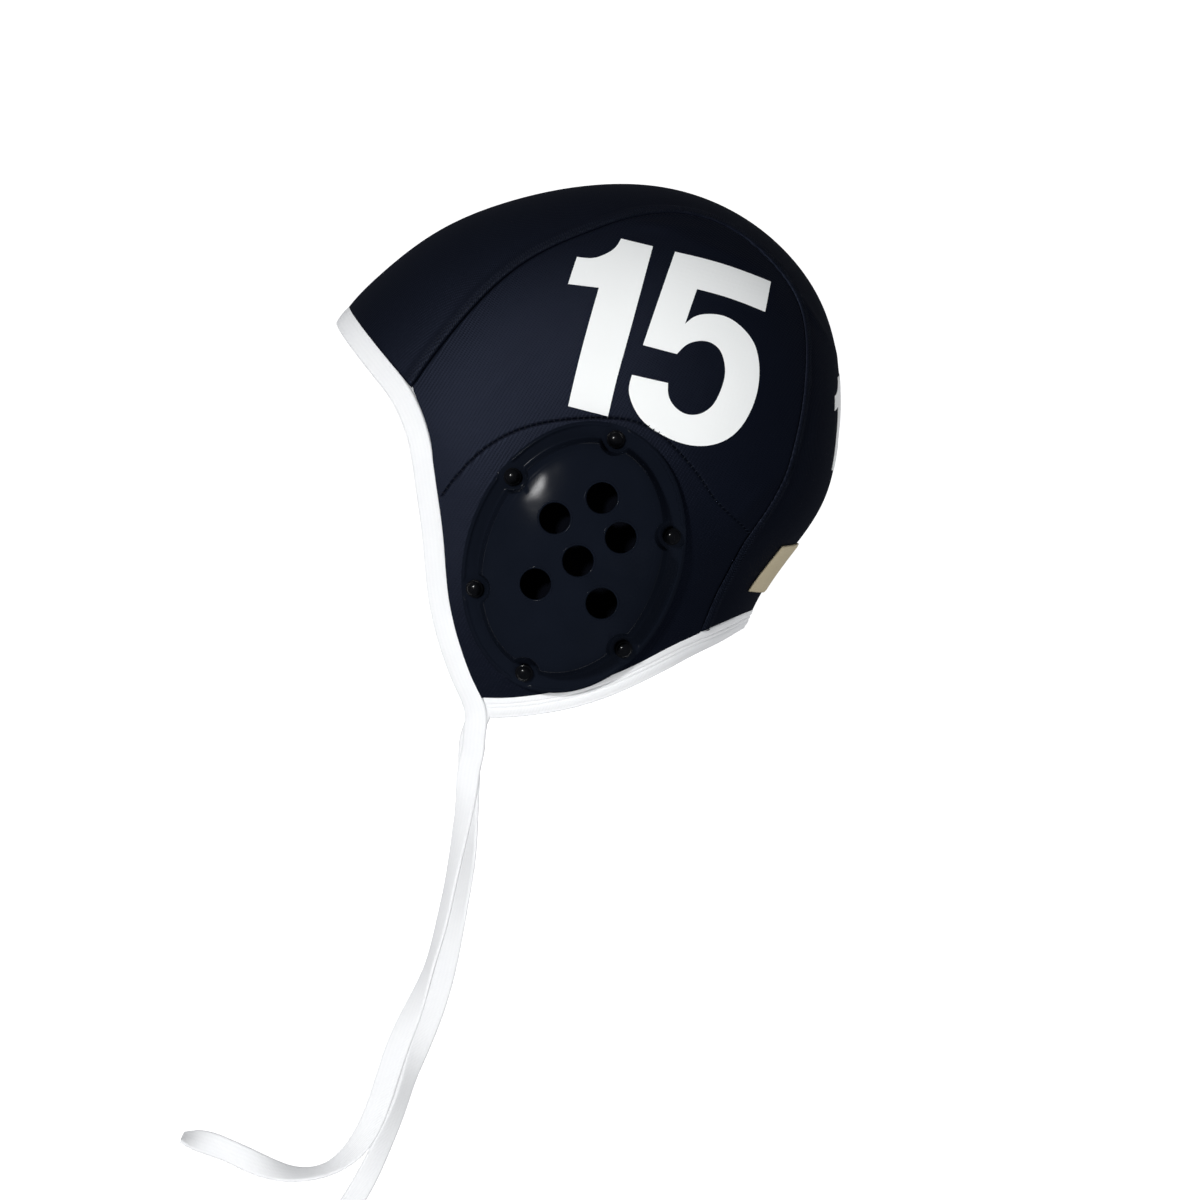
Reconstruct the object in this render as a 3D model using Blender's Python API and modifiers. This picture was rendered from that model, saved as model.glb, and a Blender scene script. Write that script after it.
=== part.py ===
"""Water polo cap: a stretch fabric cap on a head's form, with ear guards and tie tapes.

Units are metres and +Z is up. The cap is level, as on an upright head: its face looks along -Y,
the wearer's left side is +X, and X = 0 is its plane of symmetry. The origin is the head seat, where
the crown sits on the top of the head.

The cap's outer surface is one formula round the ear point, a point in side view that lies under
the middle of each ear guard. A place on the surface is an angle and a distance from the ear point,
as seen from the side. Angles are in degrees: 0 looks forward, 90 up and 180 back.
"""

from types import SimpleNamespace

import bmesh
import bpy
import numpy as np
from mathutils import Vector


def table(columns, *rows):
    """A short table: one array for each named column."""
    return SimpleNamespace(**dict(zip(columns.split(), np.array(rows, float).T)))


# Driving dimensions of the head form
EAR_Y = 0.002
EAR_Z = -0.145
HALF_WIDTH = 0.077
BULGE = 2.2

# The outline of the head in side view. Roundness is how flat the side stays before it turns in.
# Between 200 and 380 degrees it is the hidden face and neck, which only shape the sides.
HEAD = table(
    "angle radius roundness",
    (0, 0.1080, 2.4),
    (15, 0.1190, 2.5),
    (27, 0.1295, 2.6),
    (38, 0.1330, 2.7),
    (50, 0.1365, 2.8),
    (62, 0.1390, 2.9),
    (75, 0.1425, 3.0),
    (87, 0.1455, 3.0),
    (97, 0.1453, 3.0),
    (108, 0.1415, 2.9),
    (118, 0.1345, 2.8),
    (128, 0.1235, 2.6),
    (140, 0.1095, 2.5),
    (152, 0.0965, 2.2),
    (162, 0.0835, 2.0),
    (175, 0.0730, 1.8),
    (190, 0.0710, 1.8),
    (205, 0.0760, 1.8),
    (220, 0.0860, 1.9),
    (240, 0.0980, 2.0),
    (270, 0.1060, 2.2),
    (300, 0.1020, 2.3),
    (330, 0.1000, 2.4),
    (360, 0.1080, 2.4),
)

# Fabric, its seams and its edges
CLOTH = 0.0015
SEAM_GAP = 0.0008
BROW_ANGLE = 30.8
SEAM_START = 29.9
SEAM_END = 194.0
NAPE_ANGLE = 181.0
JAW_ANGLE = 287.0
ARCH_START = 6.9
ARCH_END = 156.3
PANEL_POINT = 1.0

FACE_EDGE = table(
    "angle radius",
    (-73.0, 0.0632),
    (-58.5, 0.0555),
    (-40.0, 0.0500),
    (-18.0, 0.0478),
    (6.9, 0.0549),
    (18.3, 0.0638),
    (25.7, 0.0745),
    (28.2, 0.0820),
    (29.9, 0.0887),
)
CROWN_SEAM = table(
    "angle radius",
    (29.9, 0.0887),
    (40.0, 0.0935),
    (53.0, 0.1030),
    (64.4, 0.1135),
    (77.0, 0.1243),
    (88.0, 0.1350),
    (96.0, 0.1380),
    (109.0, 0.1332),
    (116.0, 0.1268),
    (122.5, 0.1160),
    (129.5, 0.1040),
    (137.0, 0.0925),
    (146.0, 0.0802),
    (156.3, 0.0668),
    (168.0, 0.0589),
    (180.0, 0.0553),
    (194.0, 0.0555),
)
ARCH_SEAM = table(
    "angle radius",
    (6.9, 0.0549),
    (18.8, 0.0534),
    (30.0, 0.0528),
    (48.0, 0.0521),
    (68.7, 0.0516),
    (87.0, 0.0537),
    (96.0, 0.0556),
    (108.0, 0.0565),
    (121.0, 0.0559),
    (132.0, 0.0563),
    (143.0, 0.0580),
    (156.3, 0.0668),
)
NAPE_EDGE = table(
    "angle radius",
    (194.0, 0.0555),
    (202.0, 0.0509),
    (221.0, 0.0461),
    (241.0, 0.0463),
    (260.0, 0.0501),
    (270.0, 0.0535),
    (287.0, 0.0632),
)

# Bindings and ties
TAPE_WIDTH = 0.0090
TAPE_THICKNESS = 0.0017
BINDING_THICKNESS = 0.0023
TAPE_GAP = 0.0004
TIE_BLEND = 0.030
TIE_STRAIGHT = 0.006
NAPE_END_SLANT = 0.22
FACE_STEPS = 56
NAPE_STEPS = 46
TIE_STEPS = 40

# Where the face binding runs on below the jaw corners, over the ends of the nape binding.
# The right run leans forward, so the ties don't hang quite alike.
LEFT_JAW_RUN = table(
    "x y z",
    (0.0606, -0.0165, -0.2143),
    (0.0601, -0.0153, -0.2202),
)
RIGHT_JAW_RUN = table(
    "x y z",
    (-0.0601, -0.0193, -0.2202),
    (-0.0606, -0.0184, -0.2143),
)

# The routes of the ties, from the face binding's end down. Turn is the twist of the tape's face, in degrees.
LEFT_TIE = table(
    "x y z turn",
    (0.0595, -0.0137, -0.2320, 0),
    (0.0587, -0.0118, -0.2440, 26),
    (0.0580, -0.0100, -0.2580, 46),
    (0.0570, -0.0082, -0.2765, 60),
    (0.0560, -0.0070, -0.2940, 62),
    (0.0555, -0.0068, -0.3105, 66),
    (0.0550, -0.0082, -0.3290, 34),
    (0.0550, -0.0097, -0.3420, 10),
    (0.0550, -0.0103, -0.3575, 2),
    (0.0550, -0.0112, -0.3735, 8),
    (0.0550, -0.0148, -0.3865, 34),
    (0.0550, -0.0225, -0.3965, 64),
    (0.0550, -0.0350, -0.4020, 58),
    (0.0550, -0.0515, -0.4017, 12),
    (0.0545, -0.0660, -0.4000, 4),
    (0.0540, -0.0790, -0.4007, 76),
)
RIGHT_TIE = table(
    "x y z turn",
    (-0.0600, -0.0203, -0.2320, 0),
    (-0.0600, -0.0172, -0.2440, 14),
    (-0.0600, -0.0124, -0.2600, 34),
    (-0.0600, -0.0078, -0.2770, 48),
    (-0.0600, -0.0060, -0.2920, 42),
    (-0.0600, -0.0049, -0.3080, 25),
    (-0.0595, -0.0038, -0.3240, 8),
    (-0.0590, -0.0037, -0.3400, 0),
    (-0.0585, -0.0048, -0.3560, -20),
    (-0.0580, -0.0056, -0.3700, -45),
    (-0.0580, -0.0062, -0.3840, -45),
    (-0.0580, -0.0082, -0.4000, -30),
    (-0.0580, -0.0105, -0.4140, -12),
    (-0.0580, -0.0138, -0.4270, 0),
    (-0.0580, -0.0182, -0.4400, 0),
    (-0.0580, -0.0240, -0.4520, 10),
    (-0.0580, -0.0300, -0.4605, 25),
)

# Ear guard: an ellipse in side view, tilted so that its top leans to the back
GUARD_HALF_LENGTH = 0.0525
GUARD_HALF_WIDTH = 0.0405
GUARD_TILT = 4.0
GUARD_WALL = 0.0018
GUARD_LIFT = 0.0009
GUARD_SECTION = table(
    "inset height",
    (0.0000, 0.0021),
    (0.0010, 0.0029),
    (0.0020, 0.0021),
    (0.0068, 0.0021),
    (0.0079, 0.0088),
    (0.0100, 0.0098),
    (0.0114, 0.0103),
)
GUARD_CROWN = 0.0040
GUARD_MIDDLE_SHARE = 0.5
GUARD_FLOOR = 0.0021
SCALLOP_RADIUS = 0.0050
SCALLOP_RISE = 0.0012

# Ventilation holes: four round one in the middle, and one above
HOLE_RADIUS = 0.0058
HOLE_MIDDLE = (0.0024, -0.0002)
HOLE_SPREAD = 0.0128
HOLE_ABOVE = (0.0043, 0.0248)
CUTTER_LENGTH = 0.040

# Snap rivets in the channel round the plate, by their angle round the ear point
RIVET_ANGLES = (36.8, 93.4, 151.2, 225.2, 276.6, 325.9)
RIVET_INSET = 0.0054
RIVET_HEAD_RADIUS = 0.0034
RIVET_HEAD_HEIGHT = 0.0024
SHANK_RADIUS = 0.0016
SHANK_HOLE_RADIUS = 0.0020
TOUCH_GAP = 0.0003
RIVET_CLEARANCE = 0.0008

# Nape label, centred on the crown strip
LABEL_HALF_WIDTH = 0.0320
LABEL_TOP_ANGLE = 161.0
LABEL_BOTTOM_ANGLE = 175.5
LABEL_THICKNESS = 0.0008

PARTS = "water_polo_cap"
CUTTERS = "water_polo_cap_cutters"


def spline(places, values, closed=False):
    """A smooth curve through a table's points, whose bend is continuous, as a function."""
    count = len(places)
    step = np.diff(places)
    matrix = np.eye(count)
    bend = np.zeros(count)
    slopes = np.diff(values) / step
    for i in range(1, count - 1):
        matrix[i, i - 1 : i + 2] = step[i - 1], 2 * (step[i - 1] + step[i]), step[i]
        bend[i] = 6 * (slopes[i] - slopes[i - 1])
    if closed:
        matrix[0, 0] = 2 * (step[-1] + step[0])
        matrix[0, 1] = step[0]
        matrix[0, -2] = step[-1]
        bend[0] = 6 * (slopes[0] - slopes[-1])
        matrix[-1, 0] = -1
    second = np.linalg.solve(matrix, bend)

    def curve(x):
        x = np.asarray(x, float)
        if closed:
            x = (x - places[0]) % (places[-1] - places[0]) + places[0]
        k = np.clip(np.searchsorted(places, x, side="right") - 1, 0, count - 2)
        width = step[k]
        a = (places[k + 1] - x) / width
        b = 1 - a
        bow = ((a**3 - a) * second[k] + (b**3 - b) * second[k + 1]) * width**2 / 6
        return a * values[k] + b * values[k + 1] + bow

    return curve


head_radius = spline(HEAD.angle, HEAD.radius, closed=True)
head_roundness = spline(HEAD.angle, HEAD.roundness, closed=True)
face_edge = spline(FACE_EDGE.angle, FACE_EDGE.radius)
crown_seam = spline(CROWN_SEAM.angle, CROWN_SEAM.radius)
arch_seam = spline(ARCH_SEAM.angle, ARCH_SEAM.radius)
nape_edge = spline(NAPE_EDGE.angle, NAPE_EDGE.radius)


def smooth_step(x):
    """0 below 0, 1 above 1, and a smooth rise between."""
    x = np.clip(x, 0, 1)
    return x * x * (3 - 2 * x)


def side_point(angle, radius, x):
    """The point at an angle and a distance from the ear point, at a given x."""
    turn = np.radians(angle)
    y = EAR_Y - radius * np.cos(turn)
    z = EAR_Z + radius * np.sin(turn)
    return np.stack(np.broadcast_arrays(x, y, z), axis=-1)


def head_half_width(angle, radius):
    """How far the cap's outer surface is from the plane of symmetry."""
    share = np.clip(radius / head_radius(angle), 0, 1)
    return HALF_WIDTH * (1 - share ** head_roundness(angle)) ** (1 / BULGE)


def surface_point(angle, radius, side=1):
    """A point of the cap's outer surface on one side, 1 for the left and -1 for the right."""
    return side_point(angle, radius, side * head_half_width(angle, radius))


def crown_point(angle, across):
    """A point of the surface over the plane of symmetry. Across is a slant from -90 to 90 degrees."""
    slant = np.radians(across)
    x = HALF_WIDTH * np.sign(slant) * np.abs(np.sin(slant)) ** (2 / BULGE)
    radius = head_radius(angle) * np.cos(slant) ** (2 / head_roundness(angle))
    return side_point(angle, radius, x)


def crown_slant(angle, radius):
    """The slant across the crown, in degrees, of a place at an angle and a distance."""
    share = np.clip(radius / head_radius(angle), 0, 1)
    return np.degrees(np.arccos(share ** (head_roundness(angle) / 2)))


def polar(points):
    """The angle and the distance from the ear point of points seen from the side."""
    forward = EAR_Y - points[..., 1]
    up = points[..., 2] - EAR_Z
    return np.degrees(np.arctan2(up, forward)), np.hypot(forward, up)


def surface_normal(points):
    """The outward direction of the surface at points on it, by small steps along it."""
    side = np.where(points[..., 0] < 0, -1, 1)
    angle, radius = polar(points)
    reach = head_radius(angle)
    share = np.clip(radius / reach, 1e-4, 0.9999)
    power = head_roundness(angle)
    level = share**power + (np.abs(points[..., 0]) / HALF_WIDTH) ** BULGE
    step = 1e-4
    slopes = []
    for axis in (1, 2):
        moved = points.copy()
        moved[..., axis] += step
        a, r = polar(moved)
        moved_level = (r / head_radius(a)) ** head_roundness(a)
        moved_level += (np.abs(points[..., 0]) / HALF_WIDTH) ** BULGE
        slopes.append((moved_level - level) / step)
    across = side * BULGE / HALF_WIDTH * (np.abs(points[..., 0]) / HALF_WIDTH) ** (BULGE - 1)
    normal = np.stack([across, slopes[0], slopes[1]], axis=-1)
    return normal / np.linalg.norm(normal, axis=-1, keepdims=True)


def collection(name):
    """A new collection in the scene, or the one that has this name."""
    found = bpy.data.collections.get(name) or bpy.data.collections.new(name)
    if name not in bpy.context.scene.collection.children:
        bpy.context.scene.collection.children.link(found)
    return found


def material(name, colour, roughness):
    """A plain Principled material."""
    made = bpy.data.materials.get(name)
    if made is None:
        made = bpy.data.materials.new(name)
        made.use_nodes = True
        shader = made.node_tree.nodes["Principled BSDF"]
        shader.inputs["Base Color"].default_value = (*colour, 1)
        shader.inputs["Roughness"].default_value = roughness
    return made


def navy_cloth():
    return material("navy_cloth", (0.012, 0.018, 0.045), 0.7)


def white_tape():
    return material("white_tape", (0.80, 0.81, 0.80), 0.8)


def navy_plastic():
    return material("navy_plastic", (0.006, 0.009, 0.020), 0.2)


def black_plastic():
    return material("black_plastic", (0.008, 0.008, 0.008), 0.3)


def label_cloth():
    return material("label_cloth", (0.52, 0.47, 0.36), 0.8)


def add_part(name, mesh, finish):
    """An object for a finished mesh, smooth between its sharp edges."""
    made = bpy.data.objects.new(name, mesh)
    collection(PARTS).objects.link(made)
    mesh.materials.clear()
    mesh.materials.append(finish)
    mesh.shade_smooth()
    mesh.set_sharp_from_angle(angle=np.radians(40))
    return made


def grid_mesh(name, points, closed_first=False, closed_second=False):
    """A sheet of four-sided faces through a grid of points, closed round on itself if asked."""
    rows, columns = points.shape[:2]
    index = np.arange(rows * columns).reshape(rows, columns)
    if closed_first:
        index = np.vstack([index, index[:1]])
    if closed_second:
        index = np.hstack([index, index[:, :1]])
    corners = (index[:-1, :-1], index[1:, :-1], index[1:, 1:], index[:-1, 1:])
    faces = np.stack(corners, axis=-1).reshape(-1, 4)
    mesh = bpy.data.meshes.new(name)
    mesh.from_pydata(points.reshape(-1, 3).tolist(), [], faces.tolist())
    return mesh


def turn_outward(mesh, centre):
    """Flip an open sheet if its faces look towards a centre."""
    work = bmesh.new()
    work.from_mesh(mesh)
    facing = sum(face.normal.dot(face.calc_center_median() - centre) for face in work.faces)
    if facing < 0:
        bmesh.ops.reverse_faces(work, faces=work.faces)
    work.to_mesh(mesh)
    work.free()


def fan_mesh(name, points, middle):
    """A sheet through a grid of rings round a middle point, closed by a fan at the last ring."""
    columns = points.shape[1]
    mesh = grid_mesh(name, points, closed_first=True)
    work = bmesh.new()
    work.from_mesh(mesh)
    work.verts.ensure_lookup_table()
    rim = [vertex for vertex in work.verts if vertex.index % columns == columns - 1]
    top = work.verts.new(middle)
    for edge in [edge for edge in work.edges if edge.is_boundary and edge.verts[0] in rim]:
        work.faces.new((*edge.verts, top))
    bmesh.ops.recalc_face_normals(work, faces=work.faces)
    work.to_mesh(mesh)
    work.free()
    return mesh


HEAD_CENTRE = Vector((0, EAR_Y, EAR_Z))


def add_shell(name, mesh, thickness, finish):
    """An outside sheet with a wall inwards of it."""
    turn_outward(mesh, HEAD_CENTRE)
    made = add_part(name, mesh, finish)
    wall = made.modifiers.new("wall", "SOLIDIFY")
    wall.thickness = thickness
    wall.offset = -1
    wall.use_even_offset = True
    return made


def tape_section(width, thickness):
    """The corners of a tape's section: places across it and above its middle."""
    half = width / 2
    high = thickness / 2
    return np.array([-half, half, half, -half]), np.array([high, high, -high, -high])


def add_tape(name, path, facing, width, thickness, finish, slant=0):
    """A flat tape along a path, with its face along facing, closed at both ends.

    A slant makes both ends oblique, the tape's first edge longer than its second.
    """
    tangent = np.gradient(path, axis=0)
    tangent /= np.linalg.norm(tangent, axis=1, keepdims=True)
    sideways = np.cross(tangent, facing)
    sideways /= np.linalg.norm(sideways, axis=1, keepdims=True)
    upwards = np.cross(sideways, tangent)
    across, above = tape_section(width, thickness)
    points = (
        path[:, None, :]
        + across[None, :, None] * sideways[:, None, :]
        + above[None, :, None] * upwards[:, None, :]
    )
    points[0] += slant * across[:, None] * tangent[0]
    points[-1] -= slant * across[:, None] * tangent[-1]
    mesh = grid_mesh(name, points, closed_second=True)
    work = bmesh.new()
    work.from_mesh(mesh)
    bmesh.ops.holes_fill(work, edges=[edge for edge in work.edges if edge.is_boundary], sides=0)
    bmesh.ops.recalc_face_normals(work, faces=work.faces)
    work.to_mesh(mesh)
    work.free()
    return add_part(name, mesh, finish)


def evenly(curve, count):
    """Points spaced evenly along a dense curve."""
    steps = np.linalg.norm(np.diff(curve, axis=0), axis=1)
    along = np.concatenate([[0], np.cumsum(steps)])
    wanted = np.linspace(0, along[-1], count)
    return np.stack([np.interp(wanted, along, curve[:, k]) for k in range(3)], axis=1)


def strip_ends(across):
    """The angles of the crown strip's brow edge and nape edge, at a share across from -1 to 1."""
    brow = BROW_ANGLE + (SEAM_START - BROW_ANGLE) * across**2
    nape = NAPE_ANGLE + (SEAM_END - NAPE_ANGLE) * np.abs(across) ** 2.5
    return brow, nape


def add_crown_strip():
    """The middle strip, from the brow over the crown to the nape."""
    along = np.linspace(0, 1, 37)[:, None]
    across = np.linspace(-1, 1, 9)[None, :]
    brow, nape = strip_ends(across)
    angle = brow + along * (nape - brow)
    edge = crown_seam(angle) + SEAM_GAP / 2
    points = crown_point(angle, across * crown_slant(angle, edge))
    return add_shell("crown_strip", grid_mesh("crown_strip", points), CLOTH, navy_cloth())


def side_panel_bounds(angle):
    """The inner and outer distances of a side panel: the arch, and the face edge or crown seam."""
    face = face_edge(np.minimum(angle, SEAM_START))
    crown = crown_seam(np.maximum(angle, SEAM_START)) - SEAM_GAP / 2
    outer = np.where(angle < SEAM_START, face, crown)
    return arch_seam(angle) + SEAM_GAP / 2, outer


def add_side_panel(name, side):
    """The panel between the crown strip, the face edge and the arch over the ear."""
    front = np.linspace(ARCH_START + PANEL_POINT, SEAM_START, 6)
    back = np.linspace(SEAM_START, ARCH_END - PANEL_POINT, 26)[1:]
    angle = np.concatenate([front, back])[:, None]
    inner, outer = side_panel_bounds(angle)
    share = np.linspace(0, 1, 5)[None, :]
    points = surface_point(angle, inner + share * (outer - inner), side)
    return add_shell(name, grid_mesh(name, points), CLOTH, navy_cloth())


def ear_panel_edge(angle):
    """The outer distance of the ear panel round the ear point, from -73 to 287 degrees."""
    pieces = [
        (angle <= ARCH_START, face_edge, 0),
        ((angle > ARCH_START) & (angle <= ARCH_END), arch_seam, SEAM_GAP / 2),
        ((angle > ARCH_END) & (angle <= SEAM_END), crown_seam, SEAM_GAP / 2),
        (angle > SEAM_END, nape_edge, 0),
    ]
    radius = np.zeros_like(angle)
    for where, curve, gap in pieces:
        radius[where] = curve(angle[where]) - gap
    return radius


def guard_radius(angle):
    """The distance of the ear guard's edge: an ellipse with a tilted long axis."""
    turn = np.radians(angle - 90 - GUARD_TILT)
    length = np.cos(turn) / GUARD_HALF_LENGTH
    width = np.sin(turn) / GUARD_HALF_WIDTH
    return 1 / np.hypot(length, width)


def add_ear_panel(name, side):
    """The panel over the ear, which runs on behind the guard."""
    corners = [JAW_ANGLE - 360, ARCH_START, ARCH_END, SEAM_END, JAW_ANGLE]
    counts = [8, 12, 6, 9]
    spans = [
        np.linspace(first, last, count, endpoint=False)
        for first, last, count in zip(corners, corners[1:], counts)
    ]
    angle = np.concatenate(spans)
    share = np.linspace(1, 0, 5)[None, :-1]
    radius = share * ear_panel_edge(angle)[:, None]
    points = surface_point(angle[:, None], radius, side)
    middle = surface_point(0.0, 0.0, side)
    return add_shell(name, fan_mesh(name, points, middle), CLOTH, navy_cloth())


def face_edge_line(count):
    """The fabric's edge round the face, from the right jaw corner over the brow to the left."""
    angle = np.linspace(JAW_ANGLE - 360, SEAM_START, count)
    side = surface_point(angle, face_edge(angle))
    across = np.linspace(1, 0, count // 2)
    brow, _ = strip_ends(across)
    crown = crown_point(brow, across * crown_slant(brow, crown_seam(SEAM_START)))
    half = np.vstack([side, crown[1:]])
    other = half[:-1][::-1] * (-1, 1, 1)
    return np.vstack([half, other])[::-1]


def nape_edge_line(count):
    """The fabric's lower edge, from the left jaw corner round the nape to the right."""
    angle = np.linspace(JAW_ANGLE, SEAM_END, count)
    side = surface_point(angle, nape_edge(angle))
    across = np.linspace(1, 0, count // 2)
    _, nape = strip_ends(across)
    crown = crown_point(nape, across * crown_slant(nape, crown_seam(SEAM_END)))
    half = np.vstack([side, crown[1:]])
    other = half[:-1][::-1] * (-1, 1, 1)
    return np.vstack([half, other])


def beside_edge(line, distance):
    """A line beside an edge line on the surface, away from the fabric, and the normals there."""
    tangent = np.gradient(line, axis=0)
    normal = surface_normal(line)
    outward = np.cross(tangent, normal)
    outward /= np.linalg.norm(outward, axis=1, keepdims=True)
    return line + outward * distance, normal


def face_binding_path():
    """The face binding's middle line and its facing, with the run on past both jaw corners."""
    line = evenly(face_edge_line(200), FACE_STEPS)
    path, normal = beside_edge(line, TAPE_GAP + TAPE_WIDTH / 2)
    path = path - normal * CLOTH / 2
    right, left = [np.stack([run.x, run.y, run.z], axis=1) for run in (RIGHT_JAW_RUN, LEFT_JAW_RUN)]
    path = np.vstack([right, path, left])
    normal = np.vstack([normal[[0, 0]], normal, normal[[-1, -1]]])
    return path, normal


def add_face_binding():
    """The folded tape round the face, which the ties carry on from."""
    path, normal = face_binding_path()
    return add_tape("face_binding", path, normal, TAPE_WIDTH, BINDING_THICKNESS, white_tape())


def add_nape_binding():
    """The folded tape round the nape, from one jaw corner to the other."""
    line = evenly(nape_edge_line(200)[3:-3], NAPE_STEPS)
    path, normal = beside_edge(line, TAPE_GAP + TAPE_WIDTH / 2)
    path = path - normal * CLOTH / 2
    return add_tape(
        "nape_binding", path, normal, TAPE_WIDTH, BINDING_THICKNESS, white_tape(), NAPE_END_SLANT
    )


def tie_facing(path, turn, side, first_facing):
    """The direction of a tie's face: outward from the head, turned about the tie by the table."""
    tangent = np.gradient(path, axis=0)
    tangent /= np.linalg.norm(tangent, axis=1, keepdims=True)
    outward = np.array([side, 0.0, 0.0])
    outward = outward - (tangent @ outward)[:, None] * tangent
    outward /= np.linalg.norm(outward, axis=1, keepdims=True)
    sideways = np.cross(tangent, outward)
    angle = np.radians(turn)[:, None]
    facing = np.cos(angle) * outward + np.sin(angle) * sideways
    along = np.linalg.norm(path - path[0], axis=1)
    blend = smooth_step(along / TIE_BLEND)[:, None]
    return first_facing * (1 - blend) + facing * blend


def add_tie(name, route, side, start, onward, start_facing):
    """A hanging tie: a flat tape from the end of the face binding along its route."""
    first = start + onward * np.array([[0], [TIE_STRAIGHT / 2], [TIE_STRAIGHT]])
    points = np.vstack([first, np.stack([route.x, route.y, route.z], axis=1)])
    turn = np.concatenate([np.zeros(len(first)), route.turn])
    steps = np.linalg.norm(np.diff(points, axis=0), axis=1)
    along = np.concatenate([[0], np.cumsum(steps)])
    place = np.linspace(0, along[-1], TIE_STEPS)
    path = np.stack([spline(along, points[:, k])(place) for k in range(3)], axis=1)
    facing = tie_facing(path, spline(along, turn)(place), side, start_facing)
    return add_tape(name, path, facing, TAPE_WIDTH, TAPE_THICKNESS, white_tape())


def add_ties():
    """Both ties, each starting just below its end of the face binding."""
    path, normal = face_binding_path()
    ends = {"tie_left": (-1, -2, LEFT_TIE, 1), "tie_right": (0, 1, RIGHT_TIE, -1)}
    for name, (last, before, route, side) in ends.items():
        onward = path[last] - path[before]
        onward /= np.linalg.norm(onward)
        start = path[last] + onward * TOUCH_GAP
        add_tie(name, route, side, start, onward, normal[last])


def rivet_places():
    """The side view places of the rivets, as angles and distances."""
    angle = np.array(RIVET_ANGLES)
    return angle, guard_radius(angle) - RIVET_INSET


def guard_height(angle, radius):
    """How high the guard's outside is above the cap, with a scallop round each rivet."""
    edge = guard_radius(angle)
    plate_edge = edge - GUARD_SECTION.inset[-1]
    crown = GUARD_CROWN * (1 - np.minimum(radius / plate_edge, 1) ** 2)
    section = np.interp(edge - radius, GUARD_SECTION.inset, GUARD_SECTION.height) + crown
    rivet_angle, rivet_radius = rivet_places()
    turn = np.radians(angle[..., None])
    rivet_turn = np.radians(rivet_angle)
    along = radius[..., None] * np.cos(turn) - rivet_radius * np.cos(rivet_turn)
    over = radius[..., None] * np.sin(turn) - rivet_radius * np.sin(rivet_turn)
    away = np.hypot(along, over).min(axis=-1)
    rise = smooth_step((away - SCALLOP_RADIUS) / SCALLOP_RISE)
    above = np.maximum(section - GUARD_FLOOR, 0)
    return section - above * (1 - rise)


def guard_angles():
    """The angles of the guard's grid: close together at each scallop and wider between."""
    angle, radius = rivet_places()
    near = np.array([-7.6, -6.1, -4.8, -1.8, 1.8, 4.8, 6.1, 7.6]) / 1000
    made = []
    for k, (here, distance) in enumerate(zip(angle, radius)):
        around = here + np.degrees(near / distance)
        following = angle[(k + 1) % angle.size] + 360 * (k + 1 == angle.size)
        end = following + np.degrees(near[0] / radius[(k + 1) % angle.size])
        between = np.linspace(around[-1], end, 4)[1:-1]
        made.extend([around, between])
    return np.concatenate(made)


def lifted(angle, radius, side, lift):
    """A point above the cap's surface, measured straight out to the side."""
    points = surface_point(angle, radius, side)
    points[..., 0] += side * lift
    return points


def cutter(name, place, outward, size, sides):
    """A cylinder through a place, along a direction, to cut a hole with."""
    bpy.ops.mesh.primitive_cylinder_add(
        vertices=sides,
        radius=size,
        depth=CUTTER_LENGTH,
        location=place.tolist(),
        rotation=Vector(outward.tolist()).to_track_quat("Z", "Y").to_euler(),
    )
    made = bpy.context.active_object
    made.name = name
    made.hide_render = True
    made.display_type = "WIRE"
    for home in list(made.users_collection):
        home.objects.unlink(made)
    collection(CUTTERS).objects.link(made)
    return made


def hole_places():
    """The side view places of the ventilation holes, as angles and distances."""
    middle_y, middle_z = HOLE_MIDDLE
    places = [HOLE_MIDDLE, HOLE_ABOVE]
    for step_y in (-1, 1):
        for step_z in (-1, 1):
            places.append((middle_y + step_y * HOLE_SPREAD, middle_z + step_z * HOLE_SPREAD))
    y, z = np.array(places).T
    return np.degrees(np.arctan2(z, -y)), np.hypot(y, z)


def joined_cutter(name, places, directions, size, sides):
    """One object with a cylinder at each place."""
    pieces = []
    for k, (place, outward) in enumerate(zip(places, directions)):
        pieces.append(cutter(f"{name}_{k}", place, outward, size, sides))
    work = bmesh.new()
    for piece in pieces:
        bpy.context.view_layer.update()
        copy = piece.data.copy()
        copy.transform(piece.matrix_world)
        work.from_mesh(copy)
        bpy.data.objects.remove(piece)
    mesh = bpy.data.meshes.new(name)
    work.to_mesh(mesh)
    work.free()
    made = bpy.data.objects.new(name, mesh)
    made.hide_render = True
    made.display_type = "WIRE"
    collection(CUTTERS).objects.link(made)
    return made


def cut(part, tool):
    """Cut a tool out of a part."""
    made = part.modifiers.new(tool.name, "BOOLEAN")
    made.operation = "DIFFERENCE"
    made.object = tool
    made.solver = "EXACT"


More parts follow.
